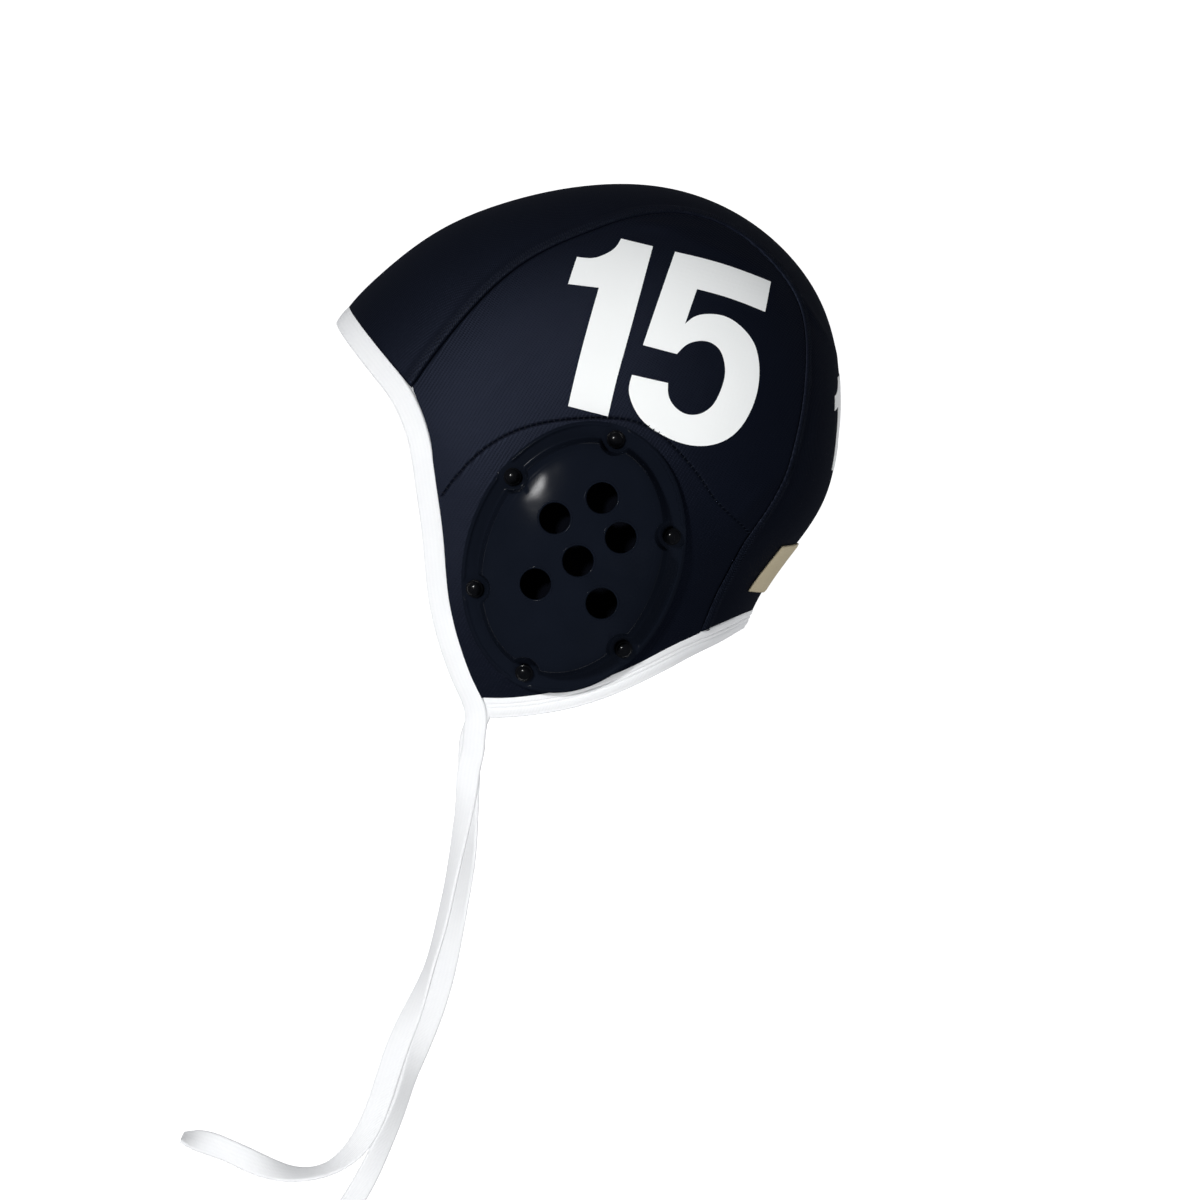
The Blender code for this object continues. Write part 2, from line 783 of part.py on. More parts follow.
def add_ear_guard(name, side):
    """The moulded guard over the ear: a domed plate with a channel and a lip round it."""
    angle = guard_angles()[:, None]
    edge = guard_radius(angle)
    plate = (edge - GUARD_SECTION.inset[-1]) * GUARD_MIDDLE_SHARE
    radius = np.hstack([edge - GUARD_SECTION.inset[None, :], plate])
    height = GUARD_LIFT + guard_height(np.broadcast_to(angle, radius.shape), radius)
    points = lifted(angle, radius, side, height)
    top = GUARD_LIFT + guard_height(np.zeros(1), np.zeros(1))
    mesh = fan_mesh(name, points, lifted(np.zeros(1), np.zeros(1), side, top)[0])
    turn_outward(mesh, HEAD_CENTRE)
    made = add_part(name, mesh, navy_plastic())
    wall = made.modifiers.new("wall", "SOLIDIFY")
    wall.thickness = GUARD_WALL
    wall.offset = -1
    holes = lifted(*hole_places(), side, GUARD_LIFT + GUARD_FLOOR)
    sideways = np.broadcast_to((side, 0.0, 0.0), holes.shape)
    cut(made, joined_cutter(f"{name}_holes", holes, sideways, HOLE_RADIUS, 12))
    rivets = lifted(*rivet_places(), side, GUARD_LIFT + GUARD_FLOOR)
    outward = surface_normal(surface_point(*rivet_places(), side))
    cut(made, joined_cutter(f"{name}_rivet_holes", rivets, outward, SHANK_HOLE_RADIUS, 8))
    return made


def add_rivet(name, angle, radius, side):
    """A snap rivet: a round head on the channel and a shank through the guard's flange."""
    place = surface_point(np.array(angle), np.array(radius), side)
    normal = surface_normal(place)
    base = lifted(np.array(angle), np.array(radius), side, GUARD_LIFT + GUARD_FLOOR)
    base = base + normal * RIVET_CLEARANCE
    depth = GUARD_FLOOR + RIVET_CLEARANCE
    profile = [
        (0, -depth),
        (SHANK_RADIUS, -depth),
        (SHANK_RADIUS, 0),
        (RIVET_HEAD_RADIUS, 0),
        (RIVET_HEAD_RADIUS * 0.80, RIVET_HEAD_HEIGHT * 0.7),
        (0, RIVET_HEAD_HEIGHT),
    ]
    mesh = bpy.data.meshes.new(name)
    edges = [(k, k + 1) for k in range(len(profile) - 1)]
    mesh.from_pydata([(r, 0, h) for r, h in profile[::-1]], edges, [])
    made = add_part(name, mesh, black_plastic())
    made.location = base.tolist()
    made.rotation_mode = "QUATERNION"
    made.rotation_quaternion = Vector(normal.tolist()).to_track_quat("Z", "Y")
    turned = made.modifiers.new("turned", "SCREW")
    turned.steps = 8
    turned.render_steps = 8
    turned.use_merge_vertices = True
    turned.merge_threshold = 0.0001
    return made


def add_nape_label():
    """The label sewn across the crown strip above the nape."""
    edge = np.degrees(np.arcsin((LABEL_HALF_WIDTH / HALF_WIDTH) ** (BULGE / 2)))
    angle = np.linspace(LABEL_TOP_ANGLE, LABEL_BOTTOM_ANGLE, 4)[:, None]
    across = np.linspace(-edge, edge, 11)[None, :]
    points = crown_point(angle, across)
    points = points + surface_normal(points) * (TOUCH_GAP + LABEL_THICKNESS)
    return add_shell("nape_label", grid_mesh("nape_label", points), LABEL_THICKNESS, label_cloth())


def main():
    for old in list(bpy.data.objects):
        bpy.data.objects.remove(old, do_unlink=True)
    add_crown_strip()
    for name, side in (("left", 1), ("right", -1)):
        add_side_panel(f"side_panel_{name}", side)
        add_ear_panel(f"ear_panel_{name}", side)
        add_ear_guard(f"ear_guard_{name}", side)
        for k, (angle, radius) in enumerate(zip(*rivet_places())):
            add_rivet(f"rivet_{name}_{k + 1}", angle, radius, side)
    add_face_binding()
    add_nape_binding()
    add_ties()
    add_nape_label()


main()
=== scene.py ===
# %% [markdown]
# # Water polo cap
# This notebook dresses a water polo cap: navy stretch fabric, white binding and ties, glossy ear
# guards held by snap rivets, and a player's number. The solids that carry it come in already packed,
# so every piece here is worked out in the same frame: metres, +Z up, the face along -Y, the
# wearer's left side +X, and the origin where the crown sits on the top of the head.

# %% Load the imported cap
import math
from types import SimpleNamespace

import bmesh
import bpy
import numpy as np
from mathutils import Matrix, Vector


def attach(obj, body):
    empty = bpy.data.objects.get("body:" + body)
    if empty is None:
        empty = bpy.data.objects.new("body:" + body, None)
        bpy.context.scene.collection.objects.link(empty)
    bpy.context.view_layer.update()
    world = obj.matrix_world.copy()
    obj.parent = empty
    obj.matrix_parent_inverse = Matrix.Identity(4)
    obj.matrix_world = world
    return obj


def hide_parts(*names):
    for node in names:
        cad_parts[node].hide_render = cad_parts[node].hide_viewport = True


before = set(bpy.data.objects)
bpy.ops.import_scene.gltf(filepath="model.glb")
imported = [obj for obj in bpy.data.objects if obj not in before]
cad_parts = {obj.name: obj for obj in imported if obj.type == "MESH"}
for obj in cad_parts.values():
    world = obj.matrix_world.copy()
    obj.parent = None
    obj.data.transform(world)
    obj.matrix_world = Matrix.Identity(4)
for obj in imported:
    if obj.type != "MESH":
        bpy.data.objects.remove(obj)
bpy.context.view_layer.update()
print("nodes:", len(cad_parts))

# %% [markdown]
# ## Camera
# The photo shows the cap from its left, a shade from behind and above, through a long lens, and
# turned in the picture as a tilted photo is. A camera has one matrix: its right, up and backward
# directions and its place. The turn in the picture is a roll of right and up about the line of sight.

# %% Camera at the photo's angle
CAMERA_AZIMUTH = math.radians(91.0)
CAMERA_ELEVATION = math.radians(2.5)
CAMERA_ROLL = math.radians(16.5)
CAMERA_DISTANCE = 2.0
CAMERA_TARGET = Vector((0.0, 0.0148, -0.1608))
CAMERA_LENS_MM = 153.85
SENSOR_MM = 36.0
FAR_CLIP = 50.0


def new_object(name, data):
    """An object in the scene, at the origin."""
    made = bpy.data.objects.new(name, data)
    bpy.context.scene.collection.objects.link(made)
    return made


def camera_matrix(azimuth, elevation, roll, distance, target):
    """The place and turn of a camera that looks at a target from a direction, rolled about it."""
    away = Vector((
        math.cos(elevation) * math.sin(azimuth),
        -math.cos(elevation) * math.cos(azimuth),
        math.sin(elevation),
    ))
    level = (-away).cross(Vector((0, 0, 1))).normalized()
    upright = level.cross(-away)
    right = math.cos(roll) * level + math.sin(roll) * upright
    up = -math.sin(roll) * level + math.cos(roll) * upright
    turn = Matrix((right, up, away)).transposed().to_4x4()
    return Matrix.Translation(target + away * distance) @ turn


lens = bpy.data.cameras.new("camera")
lens.lens = CAMERA_LENS_MM
lens.sensor_width = SENSOR_MM
lens.clip_end = FAR_CLIP
camera = new_object("camera", lens)
camera.matrix_world = camera_matrix(
    CAMERA_AZIMUTH, CAMERA_ELEVATION, CAMERA_ROLL, CAMERA_DISTANCE, CAMERA_TARGET
)
bpy.context.scene.camera = camera
print("camera at", [round(value, 3) for value in camera.location])

# %% [markdown]
# ## Tables, curves and surfaces
# Every shape on this cap is either a sheet or a section carried along a line. Both are grids of
# points, computed as whole arrays. A table names its columns, and a spline makes a smooth curve
# through a column, so a shape needs only the few rows where it bends.

# %% Small helpers for tables and curves


def table(columns, *rows):
    """A short table: one array for each named column."""
    return SimpleNamespace(**dict(zip(columns.split(), np.array(rows, float).T)))


def route_points(rows):
    """The points of a table with columns x, y and z."""
    return np.stack([rows.x, rows.y, rows.z], axis=1)


def spline(places, values, closed=False):
    """The natural cubic through a table's points, or the periodic one, as a function of place.

    On each step the curve is a straight blend of the two ends plus a bow of each end's bend, and
    the bends solve one set of linear equations, which makes slope and bend continuous.
    """
    count = len(places)
    step = np.diff(places)
    matrix = np.eye(count)
    bend = np.zeros(count)
    slopes = np.diff(values) / step
    for i in range(1, count - 1):
        matrix[i, i - 1 : i + 2] = step[i - 1], 2 * (step[i - 1] + step[i]), step[i]
        bend[i] = 6 * (slopes[i] - slopes[i - 1])
    if closed:
        matrix[0, 0] = 2 * (step[-1] + step[0])
        matrix[0, 1] = step[0]
        matrix[0, -2] = step[-1]
        bend[0] = 6 * (slopes[0] - slopes[-1])
        matrix[-1, 0] = -1
    second = np.linalg.solve(matrix, bend)

    def curve(x):
        x = np.asarray(x, float)
        if closed:
            x = (x - places[0]) % (places[-1] - places[0]) + places[0]
        k = np.clip(np.searchsorted(places, x, side="right") - 1, 0, count - 2)
        a = (places[k + 1] - x) / step[k]
        b = 1 - a
        bow = ((a**3 - a) * second[k] + (b**3 - b) * second[k + 1]) * step[k] ** 2 / 6
        return a * values[k] + b * values[k + 1] + bow

    return curve


def smooth_step(x):
    """0 below 0, 1 above 1, and the cubic 3x^2 - 2x^3 between."""
    x = np.clip(x, 0, 1)
    return x * x * (3 - 2 * x)


def ridge(x, width):
    """A bell of height 1 at 0 that falls to about a third at one width."""
    return np.exp(-((x / width) ** 2))


def unit(vectors):
    """Vectors scaled to length 1."""
    return vectors / np.linalg.norm(vectors, axis=-1, keepdims=True)


def length_along(path):
    """How far each point of a path is from its start, along it."""
    return np.concatenate([[0], np.cumsum(np.linalg.norm(np.diff(path, axis=0), axis=1))])


def evenly(points, spacing):
    """Points about one spacing apart along a dense line, its ends kept."""
    along = length_along(points)
    wanted = np.linspace(0, along[-1], max(2, int(round(along[-1] / spacing)) + 1))
    return np.stack([np.interp(wanted, along, points[:, k]) for k in range(3)], axis=1)


# %% [markdown]
# ## Colours and materials
# Colours are written as the hex values a designer reads off a swatch. Blender's shaders want linear
# light, so one function turns a hex value into it. One more adds a node with its settings and its
# links, and every material below is built from those two. Textures read either the place in the
# cap's own frame or the map that a piece of cloth carries, both in metres.

# %% Colours and nodes


def linear(hex_colour, alpha=1.0):
    """An sRGB hex colour as linear red, green, blue and alpha."""
    value = np.array([int(hex_colour[i : i + 2], 16) for i in (1, 3, 5)]) / 255
    light = np.where(value <= 0.04045, value / 12.92, ((value + 0.055) / 1.055) ** 2.4)
    return (*light.tolist(), alpha)


def node(tree, kind, settings=None, inputs=None):
    """Add a node; inputs are values, hex colours, or sockets of other nodes to link from."""
    made = tree.nodes.new(kind)
    for name, value in (settings or {}).items():
        setattr(made, name, value)
    for name, value in (inputs or {}).items():
        if isinstance(value, bpy.types.NodeSocket):
            tree.links.new(value, made.inputs[name])
        else:
            made.inputs[name].default_value = linear(value) if isinstance(value, str) else value
    return made


def new_material(name):
    """An empty material and its node tree."""
    made = bpy.data.materials.new(name)
    made.use_nodes = True
    made.node_tree.nodes.clear()
    return made, made.node_tree


def shaded(made, inputs):
    """Wire a Principled shader with these inputs to a material's output, and return the material."""
    shader = node(made.node_tree, "ShaderNodeBsdfPrincipled", inputs=inputs)
    node(made.node_tree, "ShaderNodeOutputMaterial", inputs={"Surface": shader.outputs["BSDF"]})
    return made


def blend(tree, share, first, second):
    """The output of a colour mix between two hex colours or sockets."""
    inputs = {"Factor": share, 6: first, 7: second}
    return node(tree, "ShaderNodeMix", {"data_type": "RGBA"}, inputs).outputs[2]


def in_range(tree, value, low, high, start=0.0, end=1.0):
    """A value from start to end, mapped in proportion to low to high, and held beyond."""
    inputs = {"Value": value, "From Min": start, "From Max": end, "To Min": low, "To Max": high}
    return node(tree, "ShaderNodeMapRange", inputs=inputs).outputs["Result"]


def cap_place(tree):
    """The place in the cap's own frame."""
    return node(tree, "ShaderNodeTexCoord").outputs["Object"]


def cloth_map(tree):
    """The map along and across a piece of cloth."""
    return node(tree, "ShaderNodeUVMap", {"uv_map": "cloth"}).outputs["UV"]


print("navy in linear light:", [round(value, 4) for value in linear("#0a0e18")])

# %% [markdown]
# ## The head's form
# A stretch cap has no shape of its own: it takes the head's. The whole surface is one formula round
# the ear point, a point in side view under the middle of each guard. A place on it is an angle and
# a distance from that point, seen from the side: 0 degrees looks forward, 90 up and 180 back. The
# half width falls from its middle value to nothing where the distance reaches the head's outline.

# %% The cap's surface as a function of angle and distance
EAR_Y = 0.002
EAR_Z = -0.145
EAR = Vector((0, EAR_Y, EAR_Z))
SIDES = (("left", 1), ("right", -1))
HALF_WIDTH = 0.077
BULGE = 2.2
CLOTH = 0.0015
BROW_ANGLE = 30.8
SEAM_START = 29.9
SEAM_END = 194.0
NAPE_ANGLE = 181.0
JAW_ANGLE = 287.0
ARCH_START = 6.9
ARCH_END = 156.3

HEAD = table(
    "angle radius roundness",
    (0, 0.1080, 2.4),
    (15, 0.1190, 2.5),
    (27, 0.1295, 2.6),
    (38, 0.1330, 2.7),
    (50, 0.1365, 2.8),
    (62, 0.1390, 2.9),
    (75, 0.1425, 3.0),
    (87, 0.1455, 3.0),
    (97, 0.1453, 3.0),
    (108, 0.1415, 2.9),
    (118, 0.1345, 2.8),
    (128, 0.1235, 2.6),
    (140, 0.1095, 2.5),
    (152, 0.0965, 2.2),
    (162, 0.0835, 2.0),
    (175, 0.0730, 1.8),
    (190, 0.0710, 1.8),
    (205, 0.0760, 1.8),
    (220, 0.0860, 1.9),
    (240, 0.0980, 2.0),
    (270, 0.1060, 2.2),
    (300, 0.1020, 2.3),
    (330, 0.1000, 2.4),
    (360, 0.1080, 2.4),
)
FACE_EDGE = table(
    "angle radius",
    (-73.0, 0.0632),
    (-58.5, 0.0555),
    (-40.0, 0.0500),
    (-18.0, 0.0478),
    (6.9, 0.0549),
    (18.3, 0.0638),
    (25.7, 0.0745),
    (28.2, 0.0820),
    (29.9, 0.0887),
)
CROWN_SEAM = table(
    "angle radius",
    (29.9, 0.0887),
    (40.0, 0.0935),
    (53.0, 0.1030),
    (64.4, 0.1135),
    (77.0, 0.1243),
    (88.0, 0.1350),
    (96.0, 0.1380),
    (109.0, 0.1332),
    (116.0, 0.1268),
    (122.5, 0.1160),
    (129.5, 0.1040),
    (137.0, 0.0925),
    (146.0, 0.0802),
    (156.3, 0.0668),
    (168.0, 0.0589),
    (180.0, 0.0553),
    (194.0, 0.0555),
)
ARCH_SEAM = table(
    "angle radius",
    (6.9, 0.0549),
    (18.8, 0.0534),
    (30.0, 0.0528),
    (48.0, 0.0521),
    (68.7, 0.0516),
    (87.0, 0.0537),
    (96.0, 0.0556),
    (108.0, 0.0565),
    (121.0, 0.0559),
    (132.0, 0.0563),
    (143.0, 0.0580),
    (156.3, 0.0668),
)
NAPE_EDGE = table(
    "angle radius",
    (194.0, 0.0555),
    (202.0, 0.0509),
    (221.0, 0.0461),
    (241.0, 0.0463),
    (260.0, 0.0501),
    (270.0, 0.0535),
    (287.0, 0.0632),
)

head_radius = spline(HEAD.angle, HEAD.radius, closed=True)
head_roundness = spline(HEAD.angle, HEAD.roundness, closed=True)
face_edge = spline(FACE_EDGE.angle, FACE_EDGE.radius)
crown_seam = spline(CROWN_SEAM.angle, CROWN_SEAM.radius)
arch_seam = spline(ARCH_SEAM.angle, ARCH_SEAM.radius)
nape_edge = spline(NAPE_EDGE.angle, NAPE_EDGE.radius)


def side_point(angle, radius, x):
    """y is the ear point's less radius times the cosine, z is the ear point's plus the sine part."""
    turn = np.radians(angle)
    y = EAR_Y - radius * np.cos(turn)
    z = EAR_Z + radius * np.sin(turn)
    return np.stack(np.broadcast_arrays(x, y, z), axis=-1)


def head_half_width(angle, radius):
    """The half width times (1 - (radius / outline)^roundness)^(1 / bulge)."""
    share = np.clip(radius / head_radius(angle), 0, 1)
    return HALF_WIDTH * (1 - share ** head_roundness(angle)) ** (1 / BULGE)


def surface_point(angle, radius, side=1):
    """A point of the surface on one side, 1 for the left and -1 for the right."""
    return side_point(angle, radius, side * head_half_width(angle, radius))


def crown_point(angle, across):
    """A point over the middle: the slant across it turns the outline's distance into half width."""
    slant = np.radians(across)
    x = HALF_WIDTH * np.sign(slant) * np.abs(np.sin(slant)) ** (2 / BULGE)
    radius = head_radius(angle) * np.cos(slant) ** (2 / head_roundness(angle))
    return side_point(angle, radius, x)


def crown_slant(angle, radius):
    """The slant in degrees of a place at an angle and a distance: the inverse of crown_point."""
    share = np.clip(radius / head_radius(angle), 0, 1)
    return np.degrees(np.arccos(share ** (head_roundness(angle) / 2)))


def polar(back, up):
    """The angle and distance of places in side view, given back and up from the ear point."""
    return np.degrees(np.arctan2(up, -back)), np.hypot(back, up)


def surface_normal(points):
    """The slope of the surface's level function, by small steps in y and z and exactly in x."""
    step = 1e-4

    def level(moved):
        angle, radius = polar(moved[..., 1] - EAR_Y, moved[..., 2] - EAR_Z)
        return np.clip(radius / head_radius(angle), 1e-4, None) ** head_roundness(angle)

    wide = np.abs(points[..., 0]) / HALF_WIDTH
    across = np.sign(points[..., 0]) * BULGE / HALF_WIDTH * wide ** (BULGE - 1)
    here = level(points)
    slopes = [across]
    for axis in (1, 2):
        moved = points.copy()
        moved[..., axis] += step
        slopes.append((level(moved) - here) / step)
    return unit(np.stack(slopes, axis=-1))


def raised(points, height):
    """Points of the surface moved out along its normals."""
    return points + surface_normal(points) * height[..., None]


def lifted(angle, radius, side, lift):
    """A point above the cap's surface, measured straight out to the side."""
    points = surface_point(angle, radius, side)
    points[..., 0] += side * lift
    return points


print("widest, mm:", round(2000 * float(head_half_width(0.0, 0.0)), 1))

# %% [markdown]
# ## Grids become meshes
# A grid of points makes a sheet of four-sided faces. It may close on itself one way, as a tape's
# section does. A stack of equal grids makes many small pieces at once, such as stitches. The map
# that comes with a grid is in metres along and across the cloth, so that a weave of half a
# millimetre is half a millimetre on every piece.

# %% From a grid of points to a piece
MERGE_DISTANCE = 1e-7


def grid_piece(name, points, along, across, closed=False, capped=False):
    """An object from a grid of points, or from a stack of equal grids, with its map in metres.

    Closed joins each row's last point to its first, and then the map is one column longer.
    Capped closes the first and the last row with one face each.
    """
    points = points.reshape(-1, *points.shape[-3:])
    count, rows, columns = points.shape[:3]
    index = np.arange(count * rows * columns).reshape(count, rows, columns)
    if closed:
        index = np.concatenate([index, index[:, :, :1]], axis=2)
    place = np.stack([np.broadcast_to(part, index.shape) for part in (along, across)], axis=-1)

    def corners(values):
        low, high = values[:, :-1], values[:, 1:]
        return np.stack([low[:, :, :-1], high[:, :, :-1], high[:, :, 1:], low[:, :, 1:]], axis=3)

    faces = corners(index).reshape(-1, 4).tolist()
    maps = [corners(place).reshape(-1, 2)]
    if capped:
        for row, order in ((0, 1), (-1, -1)):
            faces.extend(index[:, row, :-1][:, ::order].tolist())
            maps.append(place[:, row, :-1][:, ::order].reshape(-1, 2))
    mesh = bpy.data.meshes.new(name)
    mesh.from_pydata(points.reshape(-1, 3).tolist(), [], faces)
    layer = mesh.uv_layers.new(name="cloth")
    layer.data.foreach_set("uv", np.concatenate(maps).astype(np.float32).ravel())
    mesh.shade_smooth()
    return new_object(name, mesh)


def cleaned(made, centre=None):
    """Merge the points that meet and make the faces look out, in place.

    A closed mesh knows its outside. A sheet's faces look away from a centre.
    """
    work = bmesh.new()
    work.from_mesh(made.data)
    bmesh.ops.remove_doubles(work, verts=work.verts, dist=MERGE_DISTANCE)
    if centre is None:
        bmesh.ops.recalc_face_normals(work, faces=work.faces)
    elif sum(face.normal.dot(face.calc_center_median() - centre) for face in work.faces) < 0:
        bmesh.ops.reverse_faces(work, faces=work.faces)
    work.to_mesh(made.data)
    work.free()


def walled(made, thickness):
    """Give a sheet its thickness, inwards from its outside."""
    wall = made.modifiers.new("wall", "SOLIDIFY")
    wall.thickness = thickness
    wall.offset = -1


def solid_grid(name, points, capped=False):
    """A closed object from a grid whose rows close on themselves, for materials without a map."""
    made = grid_piece(name, points, 0.0, 0.0, closed=True, capped=capped)
    cleaned(made)
    return made


def dress(made, material, slot, *nodes):
    """Give a piece its material, let it ride on the cap, and stand for the nodes named. The slot is not
    used.
    """
    made.data.materials.clear()
    made.data.materials.append(material)
    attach(made, "root")
    if nodes:
        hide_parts(*nodes)
    return made


# %% [markdown]
# ## White tape
# The binding and the ties are one kind of tape: bleached cotton and polyester, woven narrow, folded
# in half lengthwise and stitched. Up close it shows fine ribs across and soft lines along, and it
# scatters light almost evenly, so it is nearly white with grey only where it turns away.

# %% Tape material


def wave_scale(period_mm):
    """The Wave texture's scale for a period in millimetres on a map in metres."""
    return 2 * math.pi / (20 * period_mm / 1000)


def wave(tree, place, period_mm, direction, distortion=0.0):
    """Soft bands of one period across a map."""
    settings = {"wave_type": "BANDS", "bands_direction": direction, "wave_profile": "SIN"}
    inputs = {"Vector": place, "Scale": wave_scale(period_mm), "Distortion": distortion}
    return node(tree, "ShaderNodeTexWave", settings, inputs).outputs["Fac"]


def noise(tree, place, size_mm, detail=2.0):
    """Soft noise with features of about one size, on a map or coordinates in metres."""
    inputs = {"Vector": place, "Scale": 1000 / size_mm, "Detail": detail}
    return node(tree, "ShaderNodeTexNoise", inputs=inputs).outputs["Fac"]


def bump(tree, height, depth_mm, strength=1.0, normal=None):
    """A bump of a depth in millimetres from a height between 0 and 1."""
    inputs = {"Height": height, "Distance": depth_mm / 1000, "Strength": strength}
    if normal is not None:
        inputs["Normal"] = normal
    return node(tree, "ShaderNodeBump", inputs=inputs).outputs["Normal"]


def woven_white_tape(name):
    """Bleached cotton and polyester tape: matt, near white, with ribs across and lines along."""
    made, tree = new_material(name)
    cloth = cloth_map(tree)
    ribs = wave(tree, cloth, 0.55, "X")
    lines = wave(tree, cloth, 1.5, "Y", 0.4)
    tone = blend(tree, noise(tree, cloth, 9.0), "#f0f1f3", "#f5f6f6")
    between = blend(tree, 0.08, tone, "#d9dce0")
    return shaded(made, {
        "Base Color": blend(tree, lines, between, tone),
        "Roughness": 0.85,
        "Specular IOR Level": 0.2,
        "Normal": bump(tree, lines, 0.015, normal=bump(tree, ribs, 0.04)),
    })


WHITE_TAPE = woven_white_tape("bleached woven tape")

# %% [markdown]
# ## Ties
# A tie is a flat tape that leaves the jaw corner, hangs by its own weight and keeps the twist and
# the curl of having been knotted. Its shape is a flat rounded section carried along a route, and
# turned about it by an angle that changes along it. The routes are listed points, the same
# ones that the solids follow, and a spline runs through them.

# %% A section carried along a path
TAPE_WIDTH = 0.0090
TAPE_THICKNESS = 0.0017
BINDING_THICKNESS = 0.0023
TAPE_GAP = 0.0004
TIE_BLEND = 0.030
TIE_STRAIGHT = 0.006
TOUCH_GAP = 0.0003
TIE_SPACING = 0.0013
END_LENGTH = 0.0040
TAPE_END_CREASE = math.radians(50)

LEFT_JAW_RUN = table(
    "x y z",
    (0.0606, -0.0165, -0.2143),
    (0.0601, -0.0153, -0.2202),
)
RIGHT_JAW_RUN = table(
    "x y z",
    (-0.0601, -0.0193, -0.2202),
    (-0.0606, -0.0184, -0.2143),
)
LEFT_TIE = table(
    "x y z turn",
    (0.0595, -0.0137, -0.2320, 0),
    (0.0587, -0.0118, -0.2440, 26),
    (0.0580, -0.0100, -0.2580, 46),
    (0.0570, -0.0082, -0.2765, 60),
    (0.0560, -0.0070, -0.2940, 62),
    (0.0555, -0.0068, -0.3105, 66),
    (0.0550, -0.0082, -0.3290, 34),
    (0.0550, -0.0097, -0.3420, 10),
    (0.0550, -0.0103, -0.3575, 2),
    (0.0550, -0.0112, -0.3735, 8),
    (0.0550, -0.0148, -0.3865, 34),
    (0.0550, -0.0225, -0.3965, 64),
    (0.0550, -0.0350, -0.4020, 58),
    (0.0550, -0.0515, -0.4017, 12),
    (0.0545, -0.0660, -0.4000, 4),
    (0.0540, -0.0790, -0.4007, 76),
)
RIGHT_TIE = table(
    "x y z turn",
    (-0.0600, -0.0203, -0.2320, 0),
    (-0.0600, -0.0172, -0.2440, 14),
    (-0.0600, -0.0124, -0.2600, 34),
    (-0.0600, -0.0078, -0.2770, 48),
    (-0.0600, -0.0060, -0.2920, 42),
    (-0.0600, -0.0049, -0.3080, 25),
    (-0.0595, -0.0038, -0.3240, 8),
    (-0.0590, -0.0037, -0.3400, 0),
    (-0.0585, -0.0048, -0.3560, -20),
    (-0.0580, -0.0056, -0.3700, -45),
    (-0.0580, -0.0062, -0.3840, -45),
    (-0.0580, -0.0082, -0.4000, -30),
    (-0.0580, -0.0105, -0.4140, -12),
    (-0.0580, -0.0138, -0.4270, 0),
    (-0.0580, -0.0182, -0.4400, 0),
    (-0.0580, -0.0240, -0.4520, 10),
    (-0.0580, -0.0300, -0.4605, 25),
)


def tape_section(width, thickness, grooves=(), crown=0.0):
    """A flat section with half-round edges: places across it and heights above its middle.

    The face is raised by a low crown, and each groove takes a bell of its depth out of it.
    """
    round_edge = thickness / 2
    side = width / 2 - round_edge
    flat = np.linspace(-side, side, 25)
    turn = np.radians(np.linspace(90, -90, 9)[1:-1])
    face = round_edge + crown * (1 - (flat / side) ** 2)
    for place, groove_width, depth in grooves:
        face = face - depth * ridge(flat - place, groove_width)
    edge_out = side + round_edge * np.cos(turn)
    edge_up = round_edge * np.sin(turn)
    across = np.concatenate([flat, edge_out, flat[::-1], -edge_out[::-1]])
    above = np.concatenate([face, edge_up, -np.full(flat.size, round_edge), edge_up[::-1]])
    return across, above


def carried_section(path, facing, section, thickness=1.0, slant=0.0):
    """Rings of points: the section's places across, times the sideways direction, plus its heights,
    times the facing, added to each point of the path. Thickness scales the heights along the path,
    and a slant makes both ends oblique."""
    tangent = unit(np.gradient(path, axis=0))
    sideways = unit(np.cross(tangent, facing))
    upwards = np.cross(sideways, tangent)
    across, above = section
    height = np.broadcast_to(thickness, len(path))[:, None] * above
    along = length_along(path)
    near_end = smooth_step(1 - along / END_LENGTH) - smooth_step(1 - (along[-1] - along) / END_LENGTH)
    return (
        path[:, None, :]
        + across[None, :, None] * sideways[:, None, :]
        + height[..., None] * upwards[:, None, :]
        + slant * (near_end[:, None] * across)[..., None] * tangent[:, None, :]
    )


def tape_piece(name, rings, along, section):
    """A length of tape from its rings, closed at both ends, with its map in metres."""
    across, above = section
    loop = np.stack([np.append(across, across[0]), np.append(above, above[0])], axis=1)
    made = grid_piece(name, rings, along[:, None], length_along(loop), closed=True, capped=True)
    cleaned(made)
    made.data.set_sharp_from_angle(angle=TAPE_END_CREASE)
    return made


# %% [markdown]
# The face binding and the ties share one line, so the line round the face comes first: the fabric's
# edge from jaw corner to jaw corner, and a line half a tape's width outside it.

# %% The line round the face and the ties' routes
EDGE_STEPS = 400
EDGE_SPACING = 0.0065


def strip_ends(across):
    """The angles of the crown strip's brow edge and nape edge, at a share across from -1 to 1."""
    brow = BROW_ANGLE + (SEAM_START - BROW_ANGLE) * across**2
    nape = NAPE_ANGLE + (SEAM_END - NAPE_ANGLE) * np.abs(across) ** 2.5
    return brow, nape


def edge_line(start, end, edge, strip_end):
    """The fabric's edge from the left jaw corner to the right one.

    Its left half follows an edge curve from one angle to the other, then the strip's end, which is
    0 for the brow and 1 for the nape. The right half mirrors it.
    """
    angle = np.linspace(start, end, EDGE_STEPS)
    across = np.linspace(1, 0, EDGE_STEPS // 2)
    middle = strip_ends(across)[strip_end]
    crown = crown_point(middle, across * crown_slant(middle, crown_seam(end)))
    half = np.vstack([surface_point(angle, edge(angle)), crown[1:]])
    return np.vstack([half, half[:-1][::-1] * (-1, 1, 1)])


